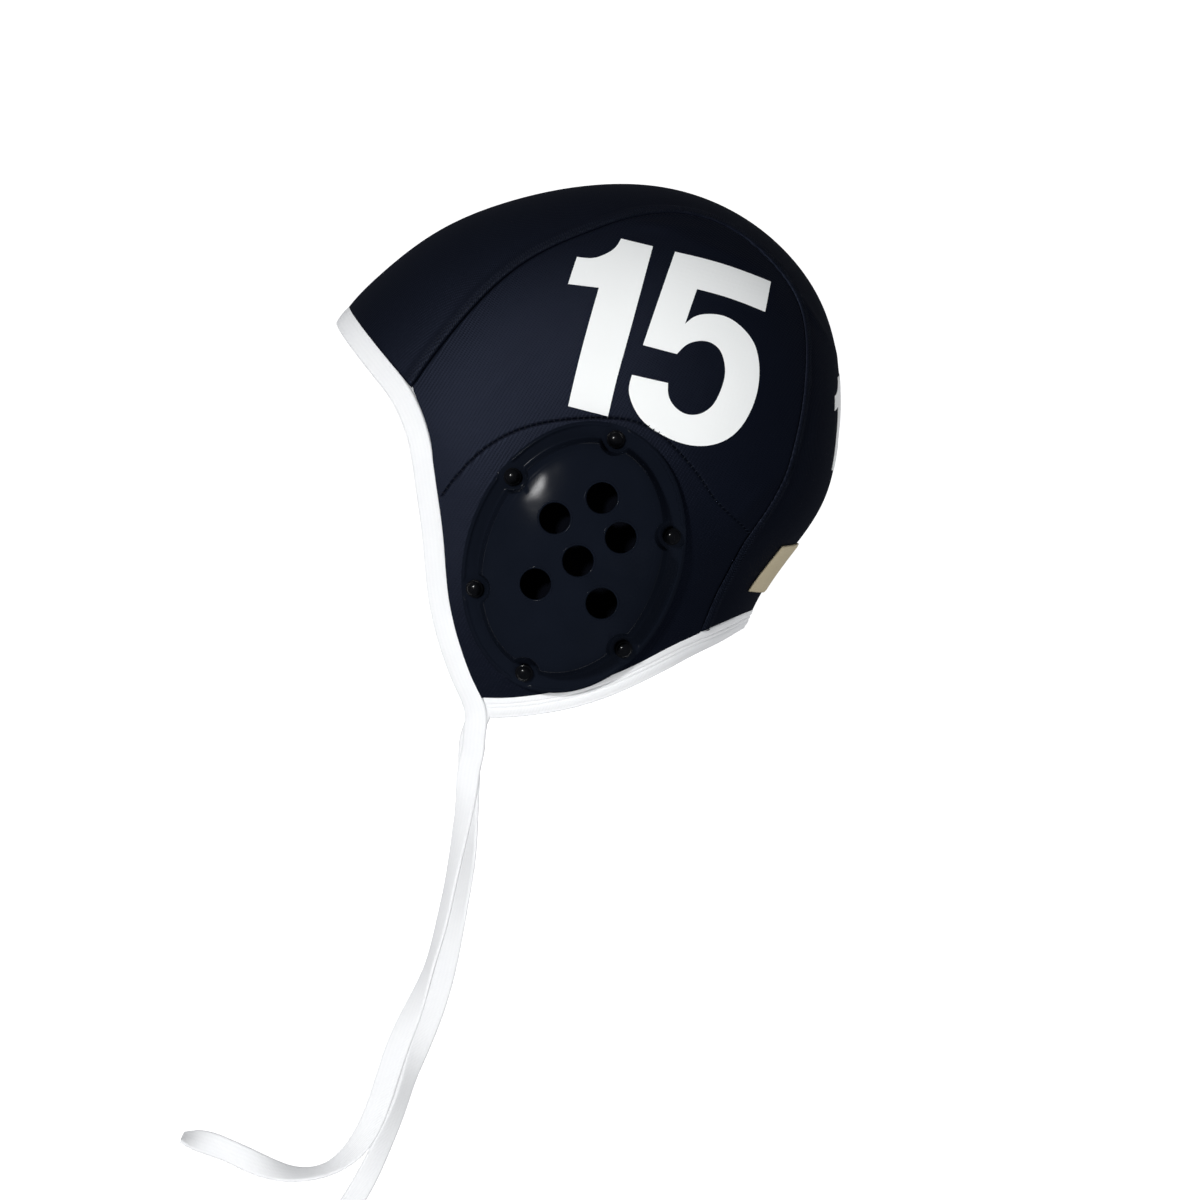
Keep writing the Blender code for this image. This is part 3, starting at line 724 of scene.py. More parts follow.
def smoothed(line):
    """Points evenly along a line, each moved twice towards the mean of its neighbours."""
    points = evenly(line, EDGE_SPACING)
    for _ in range(2):
        points[1:-1] = (points[:-2] + 2 * points[1:-1] + points[2:]) / 4
    return evenly(points, EDGE_SPACING)


def beside_edge(line, distance):
    """A line at a distance outside an edge line on the surface, and the surface's normals there."""
    tangent = np.gradient(line, axis=0)
    normal = surface_normal(line)
    return line + unit(np.cross(tangent, normal)) * distance, normal


def face_binding_path():
    """The face binding's middle line and its facing, with the run on past both jaw corners."""
    edge = edge_line(JAW_ANGLE - 360, SEAM_START, face_edge, 0)[::-1]
    path, normal = beside_edge(smoothed(edge), TAPE_GAP + TAPE_WIDTH / 2)
    path = path - normal * CLOTH / 2
    path = np.vstack([route_points(RIGHT_JAW_RUN), path, route_points(LEFT_JAW_RUN)])
    return path, np.vstack([normal[[0, 0]], normal, normal[[-1, -1]]])


def along_spline(points, *columns, spacing):
    """Points a spacing apart on the spline through a route, and the columns at the same places."""
    along = length_along(points)
    place = np.linspace(0, along[-1], int(round(along[-1] / spacing)) + 1)
    path = np.stack([spline(along, points[:, k])(place) for k in range(3)], axis=1)
    return (path, *[spline(along, column)(place) for column in columns])


def tie_route(route, side, start, onward, first_facing):
    """A tie's path and its facing: outward from the head, turned about the path by the table."""
    first = start + onward * np.array([[0], [TIE_STRAIGHT / 2], [TIE_STRAIGHT]])
    points = np.vstack([first, route_points(route)])
    turn = np.concatenate([np.zeros(len(first)), route.turn])
    path, turn = along_spline(points, turn, spacing=TIE_SPACING)
    tangent = unit(np.gradient(path, axis=0))
    outward = np.array([side, 0.0, 0.0])
    outward = unit(outward - (tangent @ outward)[:, None] * tangent)
    angle = np.radians(turn)[:, None]
    facing = np.cos(angle) * outward + np.sin(angle) * np.cross(tangent, outward)
    share = smooth_step(np.linalg.norm(path - path[0], axis=1) / TIE_BLEND)[:, None]
    return path, unit(first_facing * (1 - share) + facing * share)


# %% [markdown]
# Binding and ties are one tape, sewn on round the face and running on past both jaw corners. So its
# rings are computed once, from tie tip to tie tip, and cut into three pieces that meet exactly. It
# is folded double over the fabric's edge, and thins to the plain tape a little way down each tie.

# %% One tape round the face and down both ties
BINDING_SPACING = 0.0013
THIN_LENGTH = 0.040

TAPE_SECTION = tape_section(
    TAPE_WIDTH,
    BINDING_THICKNESS,
    grooves=((-0.0033, 0.0003, 0.00010), (-0.0024, 0.0003, 0.00006), (0.0034, 0.0003, 0.00012)),
    crown=0.0002,
)


def through(points, directions):
    """A finer path on the spline through a path's points, with its directions."""
    columns = [directions[:, k] for k in range(3)]
    path, *finer = along_spline(points, *columns, spacing=BINDING_SPACING)
    return path, unit(np.stack(finer, axis=1))


face_path, face_normal = face_binding_path()
ties = {}
for side_name, last, before, route, side in (
    ("left", -1, -2, LEFT_TIE, 1),
    ("right", 0, 1, RIGHT_TIE, -1),
):
    onward = unit(face_path[last] - face_path[before])
    ties[side_name] = tie_route(route, side, face_path[last], onward, face_normal[last])

fine_face, fine_normal = through(face_path, face_normal)
right_path, right_facing = ties["right"]
left_path, left_facing = ties["left"]
whole_path = np.vstack([right_path[::-1], fine_face[1:-1], left_path])
whole_facing = np.vstack([right_facing[::-1], fine_normal[1:-1], left_facing])
whole_length = length_along(whole_path)
first_cut = len(right_path) - 1
last_cut = len(whole_path) - len(left_path)
past_face = np.maximum(whole_length[first_cut] - whole_length, whole_length - whole_length[last_cut])
thinned = 1 - (1 - TAPE_THICKNESS / BINDING_THICKNESS) * smooth_step(past_face / THIN_LENGTH)
rings = carried_section(whole_path, whole_facing, TAPE_SECTION, thinned)

for side_name, cut, piece in (
    ("left", last_cut, slice(last_cut, None)),
    ("right", first_cut, slice(0, first_cut + 1)),
):
    tie = tape_piece(f"tie_tape_{side_name}", rings[piece], whole_length[piece], TAPE_SECTION)
    dress(tie, WHITE_TAPE, "white_tape", f"tie_{side_name}")

# %% [markdown]
# ## Bindings
# The piece between the two cuts is the face binding. It could be a curve with a bevel, but a
# bevelled curve can't lean with the head. Here each point of the path has the surface's own normal
# as its facing, so the tape lies flat on the head all the way. Round the nape goes a second length,
# whose rows of stitching press soft grooves into it. They are part of its section.

# %% Face and nape bindings
NAPE_END_SLANT = 0.22
NAPE_END_INSET = 0.0010

NAPE_SECTION = tape_section(
    TAPE_WIDTH,
    BINDING_THICKNESS,
    grooves=((-0.0014, 0.0004, 0.00045), (0.0001, 0.0004, 0.00040), (0.0031, 0.0004, 0.00020)),
    crown=0.0002,
)

piece = slice(first_cut, last_cut + 1)
binding = tape_piece("face_tape", rings[piece], whole_length[piece], TAPE_SECTION)
dress(binding, WHITE_TAPE, "white_tape", "face_binding")

whole_nape = edge_line(JAW_ANGLE, SEAM_END, nape_edge, 1)
reach = length_along(whole_nape)
inside = (reach > NAPE_END_INSET) & (reach < reach[-1] - NAPE_END_INSET)
nape_path, nape_normal = beside_edge(smoothed(whole_nape[inside]), TAPE_GAP + TAPE_WIDTH / 2)
nape_path, nape_normal = through(nape_path - nape_normal * CLOTH / 2, nape_normal)
rings = carried_section(nape_path, nape_normal, NAPE_SECTION, slant=NAPE_END_SLANT)
binding = tape_piece("nape_tape", rings, length_along(nape_path), NAPE_SECTION)
dress(binding, WHITE_TAPE, "white_tape", "nape_binding")
print("bindings, m:", [round(float(length_along(path)[-1]), 3) for path in (fine_face, nape_path)])

# %% [markdown]
# ## Navy stretch fabric
# Polyester and elastane knit, dull and very dark, with fine ribs across it. Dark cloth shows form
# mainly through broad soft highlights, so the base colour stays low, the roughness high and the
# reflection a little blue. Behind the guards' holes the cloth carries a painted shade: it is painted
# near black and made fully rough there, so that only dark shows through the holes.

# %% Fabric material
RIB_PITCH_MM = 0.8
# the painted shade behind the guards is full within the first distance from the ear point and gone
# beyond the second
PAINTED_SHADE_START = 0.033
PAINTED_SHADE_END = 0.038


def painted_guard_shade(tree):
    """Painted shade's share: 1 on the cloth behind a guard's holes, 0 from the guard's channel on, by
    side-view distance.
    """
    inputs = {0: cap_place(tree), 1: (0, 1, 1)}
    flat = node(tree, "ShaderNodeVectorMath", {"operation": "MULTIPLY"}, inputs).outputs["Vector"]
    away = node(tree, "ShaderNodeVectorMath", {"operation": "DISTANCE"}, {0: flat, 1: EAR})
    return in_range(tree, away.outputs["Value"], 0.0, 1.0, PAINTED_SHADE_END, PAINTED_SHADE_START)


def stretch_knit(name):
    """Navy polyester and elastane knit: low colour, fine ribs and a broad, dull, bluish highlight."""
    made, tree = new_material(name)
    cloth = cloth_map(tree)
    ribs = wave(tree, cloth, RIB_PITCH_MM, "Y", 0.6)
    loops = wave(tree, cloth, RIB_PITCH_MM * 1.5, "X", 0.8)
    patches = noise(tree, cloth, 14.0, 3.0)
    tone = blend(tree, patches, "#0a0e18", "#080b14")
    between = blend(tree, 0.45, tone, "#020408")
    # painted shade: behind the guards' holes the cloth is painted near black and made fully rough
    painted_shade = painted_guard_shade(tree)
    woven = node(tree, "ShaderNodeMath", {"operation": "MULTIPLY"}, {0: ribs, 1: loops}).outputs[0]
    fine = bump(tree, woven, 0.10)
    return shaded(made, {
        # painted shade: near black colour on the cloth behind the guards' holes
        "Base Color": blend(tree, painted_shade, blend(tree, ribs, between, tone), "#010102"),
        "Roughness": in_range(tree, painted_shade, 0.55, 1.0),
        "Specular IOR Level": 0.30,
        "Specular Tint": "#b9c6f0",
        "Normal": bump(tree, patches, 0.25, strength=0.5, normal=fine),
    })


NAVY_KNIT = stretch_knit("navy polyester and elastane knit")

# %% [markdown]
# ## Panels
# Five panels make the cap: a strip over the crown and, on each side, one panel for the number and
# one over the ear. Each is a grid between its seams. Where two panels meet, the seam pulls the
# cloth in, so both edges dip in a soft shoulder. On the strip the overlocked edge lies beside the
# seam as a low raised band. Stretch also leaves a few long shallow folds, and the numbers must
# follow the same ones, so the folds are one function of the place in side view.

# %% Fabric relief
SEAM_DIP = 0.0005
SEAM_SHOULDER = 0.0004
EDGE_TUCK = 0.0010
OVERLOCK_WIDTH = 0.0048
OVERLOCK_RISE = 0.0004
EVEN_PART = 0.35

# Each fold is a line in side view from the ear point: its middle, direction, reach, width and rise
FOLDS = table(
    "y z direction reach width rise",
    (-0.0050, 0.1290, 12, 0.016, 0.0022, 0.00070),
    (0.0140, 0.1270, -4, 0.018, 0.0018, 0.00050),
    (0.0600, 0.0420, 62, 0.020, 0.0026, 0.00060),
    (-0.0420, 0.0620, 58, 0.024, 0.0040, 0.00040),
    (0.0490, 0.0020, 20, 0.006, 0.0005, -0.00040),
    (0.0620, 0.1120, -41, 0.016, 0.0010, 0.00050),
)


def fold_height(points):
    """The sum of long low bells, each along its own line in side view."""
    total = np.zeros(points.shape[:-1])
    for k in range(FOLDS.y.size):
        turn = np.radians(FOLDS.direction[k])
        from_y = points[..., 1] - EAR_Y - FOLDS.y[k]
        from_z = points[..., 2] - EAR_Z - FOLDS.z[k]
        along = from_y * np.cos(turn) + from_z * np.sin(turn)
        away = from_z * np.cos(turn) - from_y * np.sin(turn)
        total += FOLDS.rise[k] * ridge(along, FOLDS.reach[k]) * ridge(away, FOLDS.width[k])
    return total


def from_edges(points):
    """How far each point of a grid is from its row's first and last point, along the row."""
    along = np.cumsum(np.linalg.norm(np.diff(points, axis=1), axis=2), axis=1)
    along = np.hstack([np.zeros((len(points), 1)), along])
    return along, along[:, -1:] - along


def eased(first, last, count):
    """Shares from first to last that lie closer together near both ends.

    They are a mix of even steps and of the steps of 1 - cos.
    """
    turn = np.linspace(0, np.pi, count)
    mix = EVEN_PART * turn / np.pi + (1 - EVEN_PART) * (1 - np.cos(turn)) / 2
    return first + (last - first) * mix


def fabric_piece(name, points, relief, along, across):
    """A wall of cloth from a grid of its outside, raised along the normals by its relief."""
    made = grid_piece(name, raised(points, relief + fold_height(points)), along, across)
    cleaned(made, EAR)
    walled(made, CLOTH)
    return made


# %% [markdown]
# The strip's grid runs along the crown and across it. Its rows lie closer together near both seams,
# where the shoulder and the overlock band are only a millimetre or two wide.

# %% Crown strip
STRIP_ROWS = 250
STRIP_COLUMNS = 61
BAND_START = 0.0004
BAND_SLOPE = 0.0006


def seam_dip(distance):
    """How far the seam pulls the cloth in, at a distance from it."""
    return -SEAM_DIP * ridge(distance, SEAM_SHOULDER)


def overlock_band(distance):
    """A low band that starts beside the seam and ends at the overlock's width."""
    rising = smooth_step((distance - BAND_START) / BAND_SLOPE)
    falling = smooth_step((OVERLOCK_WIDTH + BAND_START - distance) / BAND_SLOPE)
    return OVERLOCK_RISE * rising * falling


across = eased(-1, 1, STRIP_COLUMNS)[None, :]
brow, nape = strip_ends(across)
brow = brow - np.degrees(EDGE_TUCK / head_radius(brow))
nape = nape + np.degrees(EDGE_TUCK / head_radius(nape))
angle = brow + np.linspace(0, 1, STRIP_ROWS)[:, None] * (nape - brow)
on_seam = np.clip(angle, SEAM_START, SEAM_END)
strip_points = crown_point(angle, across * crown_slant(angle, crown_seam(on_seam)))
near, far = from_edges(strip_points)
seam_distance = np.minimum(near, far)
relief = seam_dip(seam_distance) + overlock_band(seam_distance)
middle_length = length_along(strip_points[:, STRIP_COLUMNS // 2])[:, None]
strip = fabric_piece("crown_strip_knit", strip_points, relief, near, middle_length)
dress(strip, NAVY_KNIT, "cap_fabric", "crown_strip")

# %% [markdown]
# The side panel's grid runs round the ear point and outwards, from the arch to the crown seam. The
# ear panel's runs from the ear point itself, so its first column is a single point. The map of both
# is the side view turned a little, which is how the knit's ribs lie on the worn cap.

# %% Side and ear panels
PANEL_ROWS = 190
PANEL_COLUMNS = 61
EAR_ROWS = 230
EAR_COLUMNS = 34
EAR_CROWDING = 1.6
RIB_TURN = math.radians(-16.5)


def side_map(points, side):
    """The map of a side piece: its side view, turned so that the ribs lie as the photo shows."""
    y = points[..., 1] - EAR_Y
    z = points[..., 2] - EAR_Z
    along = y * math.cos(RIB_TURN) + z * math.sin(RIB_TURN)
    up = z * math.cos(RIB_TURN) - y * math.sin(RIB_TURN)
    return side * along, up


def side_panel_bounds(angle):
    """The inner and outer distances of a side panel: the arch, and the face edge or crown seam."""
    face = face_edge(np.minimum(angle, SEAM_START)) + EDGE_TUCK
    crown = crown_seam(np.maximum(angle, SEAM_START))
    return arch_seam(angle), np.where(angle < SEAM_START, face, crown)


def ear_panel_edge(angle):
    """The outer distance of the ear panel round the ear point, from -73 to 287 degrees."""
    pieces = [
        (angle <= ARCH_START, face_edge, EDGE_TUCK),
        ((angle > ARCH_START) & (angle <= ARCH_END), arch_seam, 0),
        ((angle > ARCH_END) & (angle <= SEAM_END), crown_seam, 0),
        (angle > SEAM_END, nape_edge, EDGE_TUCK),
    ]
    radius = np.zeros_like(angle)
    for where, curve, tuck in pieces:
        radius[where] = curve(angle[where]) + tuck
    return radius


def side_panel_grid(side):
    """The side panel's outside: angles by distances from the arch outwards."""
    front = np.linspace(ARCH_START, SEAM_START, PANEL_ROWS // 6, endpoint=False)
    back = np.linspace(SEAM_START, ARCH_END, PANEL_ROWS - PANEL_ROWS // 6)
    angle = np.concatenate([front, back])[:, None]
    inner, outer = side_panel_bounds(angle)
    return surface_point(angle, inner + eased(0, 1, PANEL_COLUMNS) * (outer - inner), side), angle


def ear_panel_grid(side):
    """The ear panel's outside: angles by distances from the ear point outwards."""
    corners = [JAW_ANGLE - 360, ARCH_START, ARCH_END, SEAM_END, JAW_ANGLE]
    counts = [round(EAR_ROWS * (last - first) / 360) for first, last in zip(corners, corners[1:])]
    spans = [np.linspace(*ends, n) for ends, n in zip(zip(corners, corners[1:]), counts)]
    angle = np.unique(np.concatenate(spans))
    share = 1 - (1 - np.linspace(0, 1, EAR_COLUMNS)) ** EAR_CROWDING
    radius = ear_panel_edge(angle)[:, None] * share
    return surface_point(angle[:, None], radius, side), angle[:, None]


for side_name, side in SIDES:
    points, angle = side_panel_grid(side)
    near, far = from_edges(points)
    at_crown = smooth_step((angle - SEAM_START) / 3)
    relief = seam_dip(near) + seam_dip(far) * at_crown
    panel = fabric_piece(f"side_knit_{side_name}", points, relief, *side_map(points, side))
    dress(panel, NAVY_KNIT, "cap_fabric", f"side_panel_{side_name}")

    points, angle = ear_panel_grid(side)
    near, far = from_edges(points)
    at_seam = smooth_step((angle - ARCH_START) / 3) * smooth_step((SEAM_END - angle) / 3)
    panel = fabric_piece(
        f"ear_knit_{side_name}", points, seam_dip(far) * at_seam, *side_map(points, side)
    )
    dress(panel, NAVY_KNIT, "cap_fabric", f"ear_panel_{side_name}")
    _, depth, height = np.ptp(points.reshape(-1, 3), axis=0).tolist()

# %% [markdown]
# Two grids that share a seam are sampled at different places along it, so slits finer than a hair
# stay open between them. A narrow ribbon inside the cloth's own thickness closes them. It follows
# the seam like a tape does, and it can't be seen from either side.

# %% Ribbons that close the seams
RIBBON_DEPTH = 0.0012
RIBBON_SECTION = tape_section(0.0030, 0.0006)

for side_name, side in SIDES:
    for seam_name, seam, start, end in (
        ("crown", crown_seam, SEAM_START, SEAM_END),
        ("arch", arch_seam, ARCH_START, ARCH_END + 1.0),
    ):
        angle = np.linspace(start, end, 160)
        path = surface_point(angle, seam(angle), side)
        normal = surface_normal(path)
        path, normal = through(path - normal * RIBBON_DEPTH, normal)
        ribbon = tape_piece(
            f"{seam_name}_ribbon_{side_name}",
            carried_section(path, normal, RIBBON_SECTION),
            length_along(path),
            RIBBON_SECTION,
        )
        dress(ribbon, NAVY_KNIT, "cap_fabric")

# %% [markdown]
# ## Ear guards
# Each guard is one moulding: a domed plate, a channel round it and a thin lip. Round each rivet the
# plate is scooped out. Modelled by hand it would take many loop cuts and booleans; as a height over
# the head it is one formula. The outside rises from the lip to the dome, and the inside is the same
# formula moved in by the wall, so one grid of rings makes a closed solid. The rings lie closest
# where the height changes fastest.

# %% Guard plastic


def moulded_polyethylene(name):
    """Glossy navy polyethylene: nearly black, with a clear reflection and faint moulding waves."""
    made, tree = new_material(name)
    waves = noise(tree, cap_place(tree), 11.0, 1.0)
    grain = noise(tree, cap_place(tree), 0.6, 3.0)
    return shaded(made, {
        "Base Color": blend(tree, waves, "#0f131b", "#12161f"),
        "Roughness": in_range(tree, grain, 0.13, 0.18),
        "Specular IOR Level": 0.032,
        "Normal": bump(tree, waves, 0.30, strength=0.5),
    })


GUARD_PLASTIC = moulded_polyethylene("glossy navy polyethylene")

# %% Guard height over the cap
GUARD_HALF_LENGTH = 0.0525
GUARD_HALF_WIDTH = 0.0405
GUARD_TILT = 4.0
GUARD_WALL = 0.0018
GUARD_LIFT = 0.0009
GUARD_SECTION = table(
    "inset height",
    (0.0000, 0.0021),
    (0.0010, 0.0029),
    (0.0020, 0.0021),
    (0.0068, 0.0021),
    (0.0079, 0.0088),
    (0.0100, 0.0098),
    (0.0114, 0.0103),
)
GUARD_CROWN = 0.0040
GUARD_FLOOR = 0.0021
SCALLOP_RADIUS = 0.0050
SCALLOP_RISE = 0.0012
LIP_ROUNDING = 0.0003
PLATE_ROUNDING = 0.0008
LIP_END = 0.0040
RIVET_ANGLES = (36.8, 93.4, 151.2, 225.2, 276.6, 325.9)
RIVET_INSET = 0.0054
HOLE_RADIUS = 0.0058
HOLE_MIDDLE = (0.0024, -0.0002)
HOLE_SPREAD = 0.0128
HOLE_ABOVE = (0.0043, 0.0248)
HOLE_ROUNDING = 0.0006
COLLAR_OVERLAP = 0.0003
COLLAR_PROUD = 0.00003
COLLAR_START = 0.00002


def guard_radius(angle):
    """The distance of the guard's edge: an ellipse whose long axis is tilted."""
    turn = np.radians(angle - 90 - GUARD_TILT)
    return 1 / np.hypot(np.cos(turn) / GUARD_HALF_LENGTH, np.sin(turn) / GUARD_HALF_WIDTH)


def rivet_places():
    """The side view places of the rivets, as angles and distances."""
    angle = np.array(RIVET_ANGLES)
    return angle, guard_radius(angle) - RIVET_INSET


def rounded_section(inset):
    """The section's height, averaged over a short reach, which rounds its corners.

    The reach is wider on the plate than on the thin lip.
    """
    reach = np.where(inset < LIP_END, LIP_ROUNDING, PLATE_ROUNDING)
    shifted = inset + reach * np.linspace(-1, 1, 9).reshape(-1, *[1] * inset.ndim)
    return np.interp(shifted, GUARD_SECTION.inset, GUARD_SECTION.height).mean(axis=0)


def guard_height(angle, radius):
    """Section plus crown, and what is above the channel's floor fades out round each rivet."""
    edge = guard_radius(angle)
    plate_edge = edge - GUARD_SECTION.inset[-1]
    crown = GUARD_CROWN * (1 - np.minimum(radius / plate_edge, 1) ** 2)
    section = rounded_section(edge - radius) + crown
    rivet_angle, rivet_radius = rivet_places()
    turn = np.radians(angle[..., None])
    rivet_turn = np.radians(rivet_angle)
    forward = radius[..., None] * np.cos(turn) - rivet_radius * np.cos(rivet_turn)
    up = radius[..., None] * np.sin(turn) - rivet_radius * np.sin(rivet_turn)
    away = np.hypot(forward, up).min(axis=-1)
    rise = smooth_step((away - SCALLOP_RADIUS) / SCALLOP_RISE)
    return section - np.maximum(section - GUARD_FLOOR, 0) * (1 - rise)


def hole_places():
    """The holes in side view, back and up from the ear point: middle, above, and four round."""
    spread = [(a, b) for a in (-HOLE_SPREAD, HOLE_SPREAD) for b in (-HOLE_SPREAD, HOLE_SPREAD)]
    around = np.array(HOLE_MIDDLE) + np.array(spread)
    return np.vstack([HOLE_MIDDLE, HOLE_ABOVE, around])


# %% Guard grid
NEAR_RIVET = 0.0085
SLOPE_REACH = 0.8 * GUARD_WALL
CUTTER_REACH = (HALF_WIDTH - 0.006, HALF_WIDTH + 0.030)
CUT_CREASE = math.radians(40)


def guard_angles():
    """Angles round the guard: a third of a millimetre apart near a rivet, wider between."""
    angle, radius = rivet_places()
    reach = np.degrees(NEAR_RIVET / radius)
    following = np.append(angle[1:], angle[0] + 360)
    parts = []
    for k in range(angle.size):
        first, last = angle[k] + reach[k], following[k] - reach[(k + 1) % angle.size]
        parts.append(np.linspace(angle[k] - reach[k], first, 50, endpoint=False))
        parts.append(np.linspace(first, last, 22, endpoint=False))
    return np.concatenate(parts)


def guard_rings(angle, side):
    """Rings from the middle of the outside, over the edge, to the middle of the inside.

    The inside takes the height a little further out, so that the wall keeps its thickness where
    the plate's side is steep. At the middle it takes it in place, and the rings close to a point.
    """
    inset = np.concatenate([
        np.linspace(0.0, 0.0026, 12, endpoint=False),
        np.linspace(0.0026, 0.0062, 8, endpoint=False),
        np.linspace(0.0062, 0.0090, 16, endpoint=False),
        np.linspace(0.0090, 0.0120, 10),
    ])
    edge = guard_radius(angle)[:, None]
    ring = edge - inset
    plate = ring[:, -1:] * np.linspace(1, 0, 14)[1:]
    radius = np.hstack([ring, plate])
    wide = np.broadcast_to(angle[:, None], radius.shape)
    outside = lifted(wide, radius, side, GUARD_LIFT + guard_height(wide, radius))
    further_out = radius + SLOPE_REACH * np.minimum(radius / RIVET_INSET, 1)
    within = np.maximum(guard_height(wide, further_out), GUARD_FLOOR) - GUARD_WALL
    inside = lifted(wide, radius, side, GUARD_LIFT + within)
    return np.concatenate([outside[:, ::-1], inside], axis=1).transpose(1, 0, 2)


def round_cutter(name, places, radius, side):
    """Bars along X through side view places, to cut the holes with."""
    turn = np.linspace(0, 2 * np.pi, 64, endpoint=False)
    reach = side * np.array(CUTTER_REACH)
    y = EAR_Y + places[:, 0, None, None] + radius * np.cos(turn)
    z = EAR_Z + places[:, 1, None, None] + radius * np.sin(turn)
    points = np.stack(np.broadcast_arrays(reach[None, :, None], y, z), axis=-1)
    return solid_grid(name, points, capped=True)


def hole_collars(name, places, side):
    """The rounded rims and the walls of the holes: a section carried round each hole's circle.

    The section starts on the dome just outside the rim, turns in on a quarter circle, goes down
    the wall and comes back up inside the plastic.
    """
    bend = np.linspace(0, np.pi / 2, 9)
    far = HOLE_RADIUS + HOLE_ROUNDING + COLLAR_OVERLAP
    out = HOLE_RADIUS + HOLE_ROUNDING * (1 - np.sin(bend))
    out = np.concatenate([[far], out, [HOLE_RADIUS, far]])
    down = COLLAR_PROUD - HOLE_ROUNDING * (1 - np.cos(bend))
    down = np.concatenate([[COLLAR_START], down, [-GUARD_WALL, -GUARD_WALL]])
    turn = np.linspace(0, 2 * np.pi, 72, endpoint=False)[:, None]
    back = places[:, 0, None, None] + out * np.cos(turn)
    up = places[:, 1, None, None] + out * np.sin(turn)
    angle, radius = polar(back, up)
    points = lifted(angle, radius, side, GUARD_LIFT + guard_height(angle, radius) + down)
    points = np.concatenate([points, points[:, :1]], axis=1)
    return solid_grid(name, points)


def cut_out(made, cutter):
    """Cut a piece, keep the result as its mesh with the cut's corners sharp, and drop the cutter."""
    cut = made.modifiers.new("cut", "BOOLEAN")
    cut.operation = "DIFFERENCE"
    cut.object = cutter
    cut.solver = "MANIFOLD"
    graph = bpy.context.evaluated_depsgraph_get()
    mesh = bpy.data.meshes.new_from_object(made.evaluated_get(graph))
    made.modifiers.clear()
    made.data = mesh
    mesh.set_sharp_from_angle(angle=CUT_CREASE)
    bpy.data.objects.remove(cutter)


for side_name, side in SIDES:
    rings = guard_rings(guard_angles(), side)
    guard = solid_grid(f"guard_{side_name}", rings)
    holes = hole_places()
    cut_out(guard, round_cutter(f"hole_bars_{side_name}", holes, HOLE_RADIUS + HOLE_ROUNDING, side))
    dress(guard, GUARD_PLASTIC, "guard_plastic", f"ear_guard_{side_name}")
    collars = hole_collars(f"hole_rims_{side_name}", holes, side)
    dress(collars, GUARD_PLASTIC, "guard_plastic")
    print(guard.name, "grid:", rings.shape[:2], "faces:", len(guard.data.polygons))

# %% [markdown]
# ## Snap rivets
# Six black snap rivets hold each guard. A rivet is turned: one profile swung about an axis that
# leaves the head along the surface's normal. All six of a side come from one stack of grids.

# %% Rivets
RIVET_HEAD_RADIUS = 0.0034
RIVET_HEAD_HEIGHT = 0.0024
RIVET_CLEARANCE = 0.0008
RIVET_RIM = 0.0005
SHANK_RADIUS = 0.0016
SHANK_TOP = -0.0001


def gloss_black(name):
    """Black acetal: deep black and smooth, so each dome shows one small bright reflection."""
    made, tree = new_material(name)
    dust = noise(tree, cap_place(tree), 1.2)
    colour = blend(tree, dust, "#07080a", "#0c0d10")
    return shaded(made, {"Base Color": colour, "Roughness": 0.20, "Specular IOR Level": 0.22})


BLACK_ACETAL = gloss_black("black acetal")


def rivet_profile():
    """Radius and height from the top of the head to the foot: dome, rounded rim, flat, shank."""
    dome = np.linspace(0, 1, 14)
    rim = np.linspace(0, np.pi / 2, 6)[1:]
    dome_radius = RIVET_HEAD_RADIUS - RIVET_RIM
    rise = RIVET_HEAD_HEIGHT - RIVET_RIM
    foot = -(GUARD_FLOOR + RIVET_CLEARANCE)
    radius = [dome * dome_radius, dome_radius + RIVET_RIM * np.sin(rim)]
    radius.append([RIVET_HEAD_RADIUS, SHANK_RADIUS, SHANK_RADIUS, 0])
    height = [RIVET_RIM + rise * (1 - dome**2.4) ** 0.7, RIVET_RIM * np.cos(rim)]
    height.append([SHANK_TOP, SHANK_TOP, foot, foot])
    return np.concatenate(radius), np.concatenate(height)


def spokes(first, second, count):
    """Directions round a circle, from two square ones, for each pair of them."""
    turn = np.linspace(0, 2 * np.pi, count, endpoint=False)[:, None]
    return np.cos(turn) * first[:, None] + np.sin(turn) * second[:, None]


for side_name, side in SIDES:
    out = surface_normal(surface_point(*rivet_places(), side))
    base = lifted(*rivet_places(), side, GUARD_LIFT + GUARD_FLOOR) + out * RIVET_CLEARANCE
    first = unit(np.cross(out, (0, 0, 1)))
    size, height = rivet_profile()
    points = (
        base[:, None, None]
        + size[None, :, None, None] * spokes(first, np.cross(out, first), 40)[:, None]
        + height[None, :, None, None] * out[:, None, None]
    )
    rivets = solid_grid(f"rivets_{side_name}", points)
    dress(rivets, BLACK_ACETAL, "rivet_plastic", *[f"rivet_{side_name}_{k}" for k in range(1, 7)])

# %% [markdown]
# ## Numbers
# The player's number is a heat-pressed film. Its outline is drawn flat, from corners and from
# smooth runs between them, then filled, cut into small faces and laid on the cloth a fifth of a
# millimetre proud. Moving flat points onto a formula keeps the figures undistorted in side view.

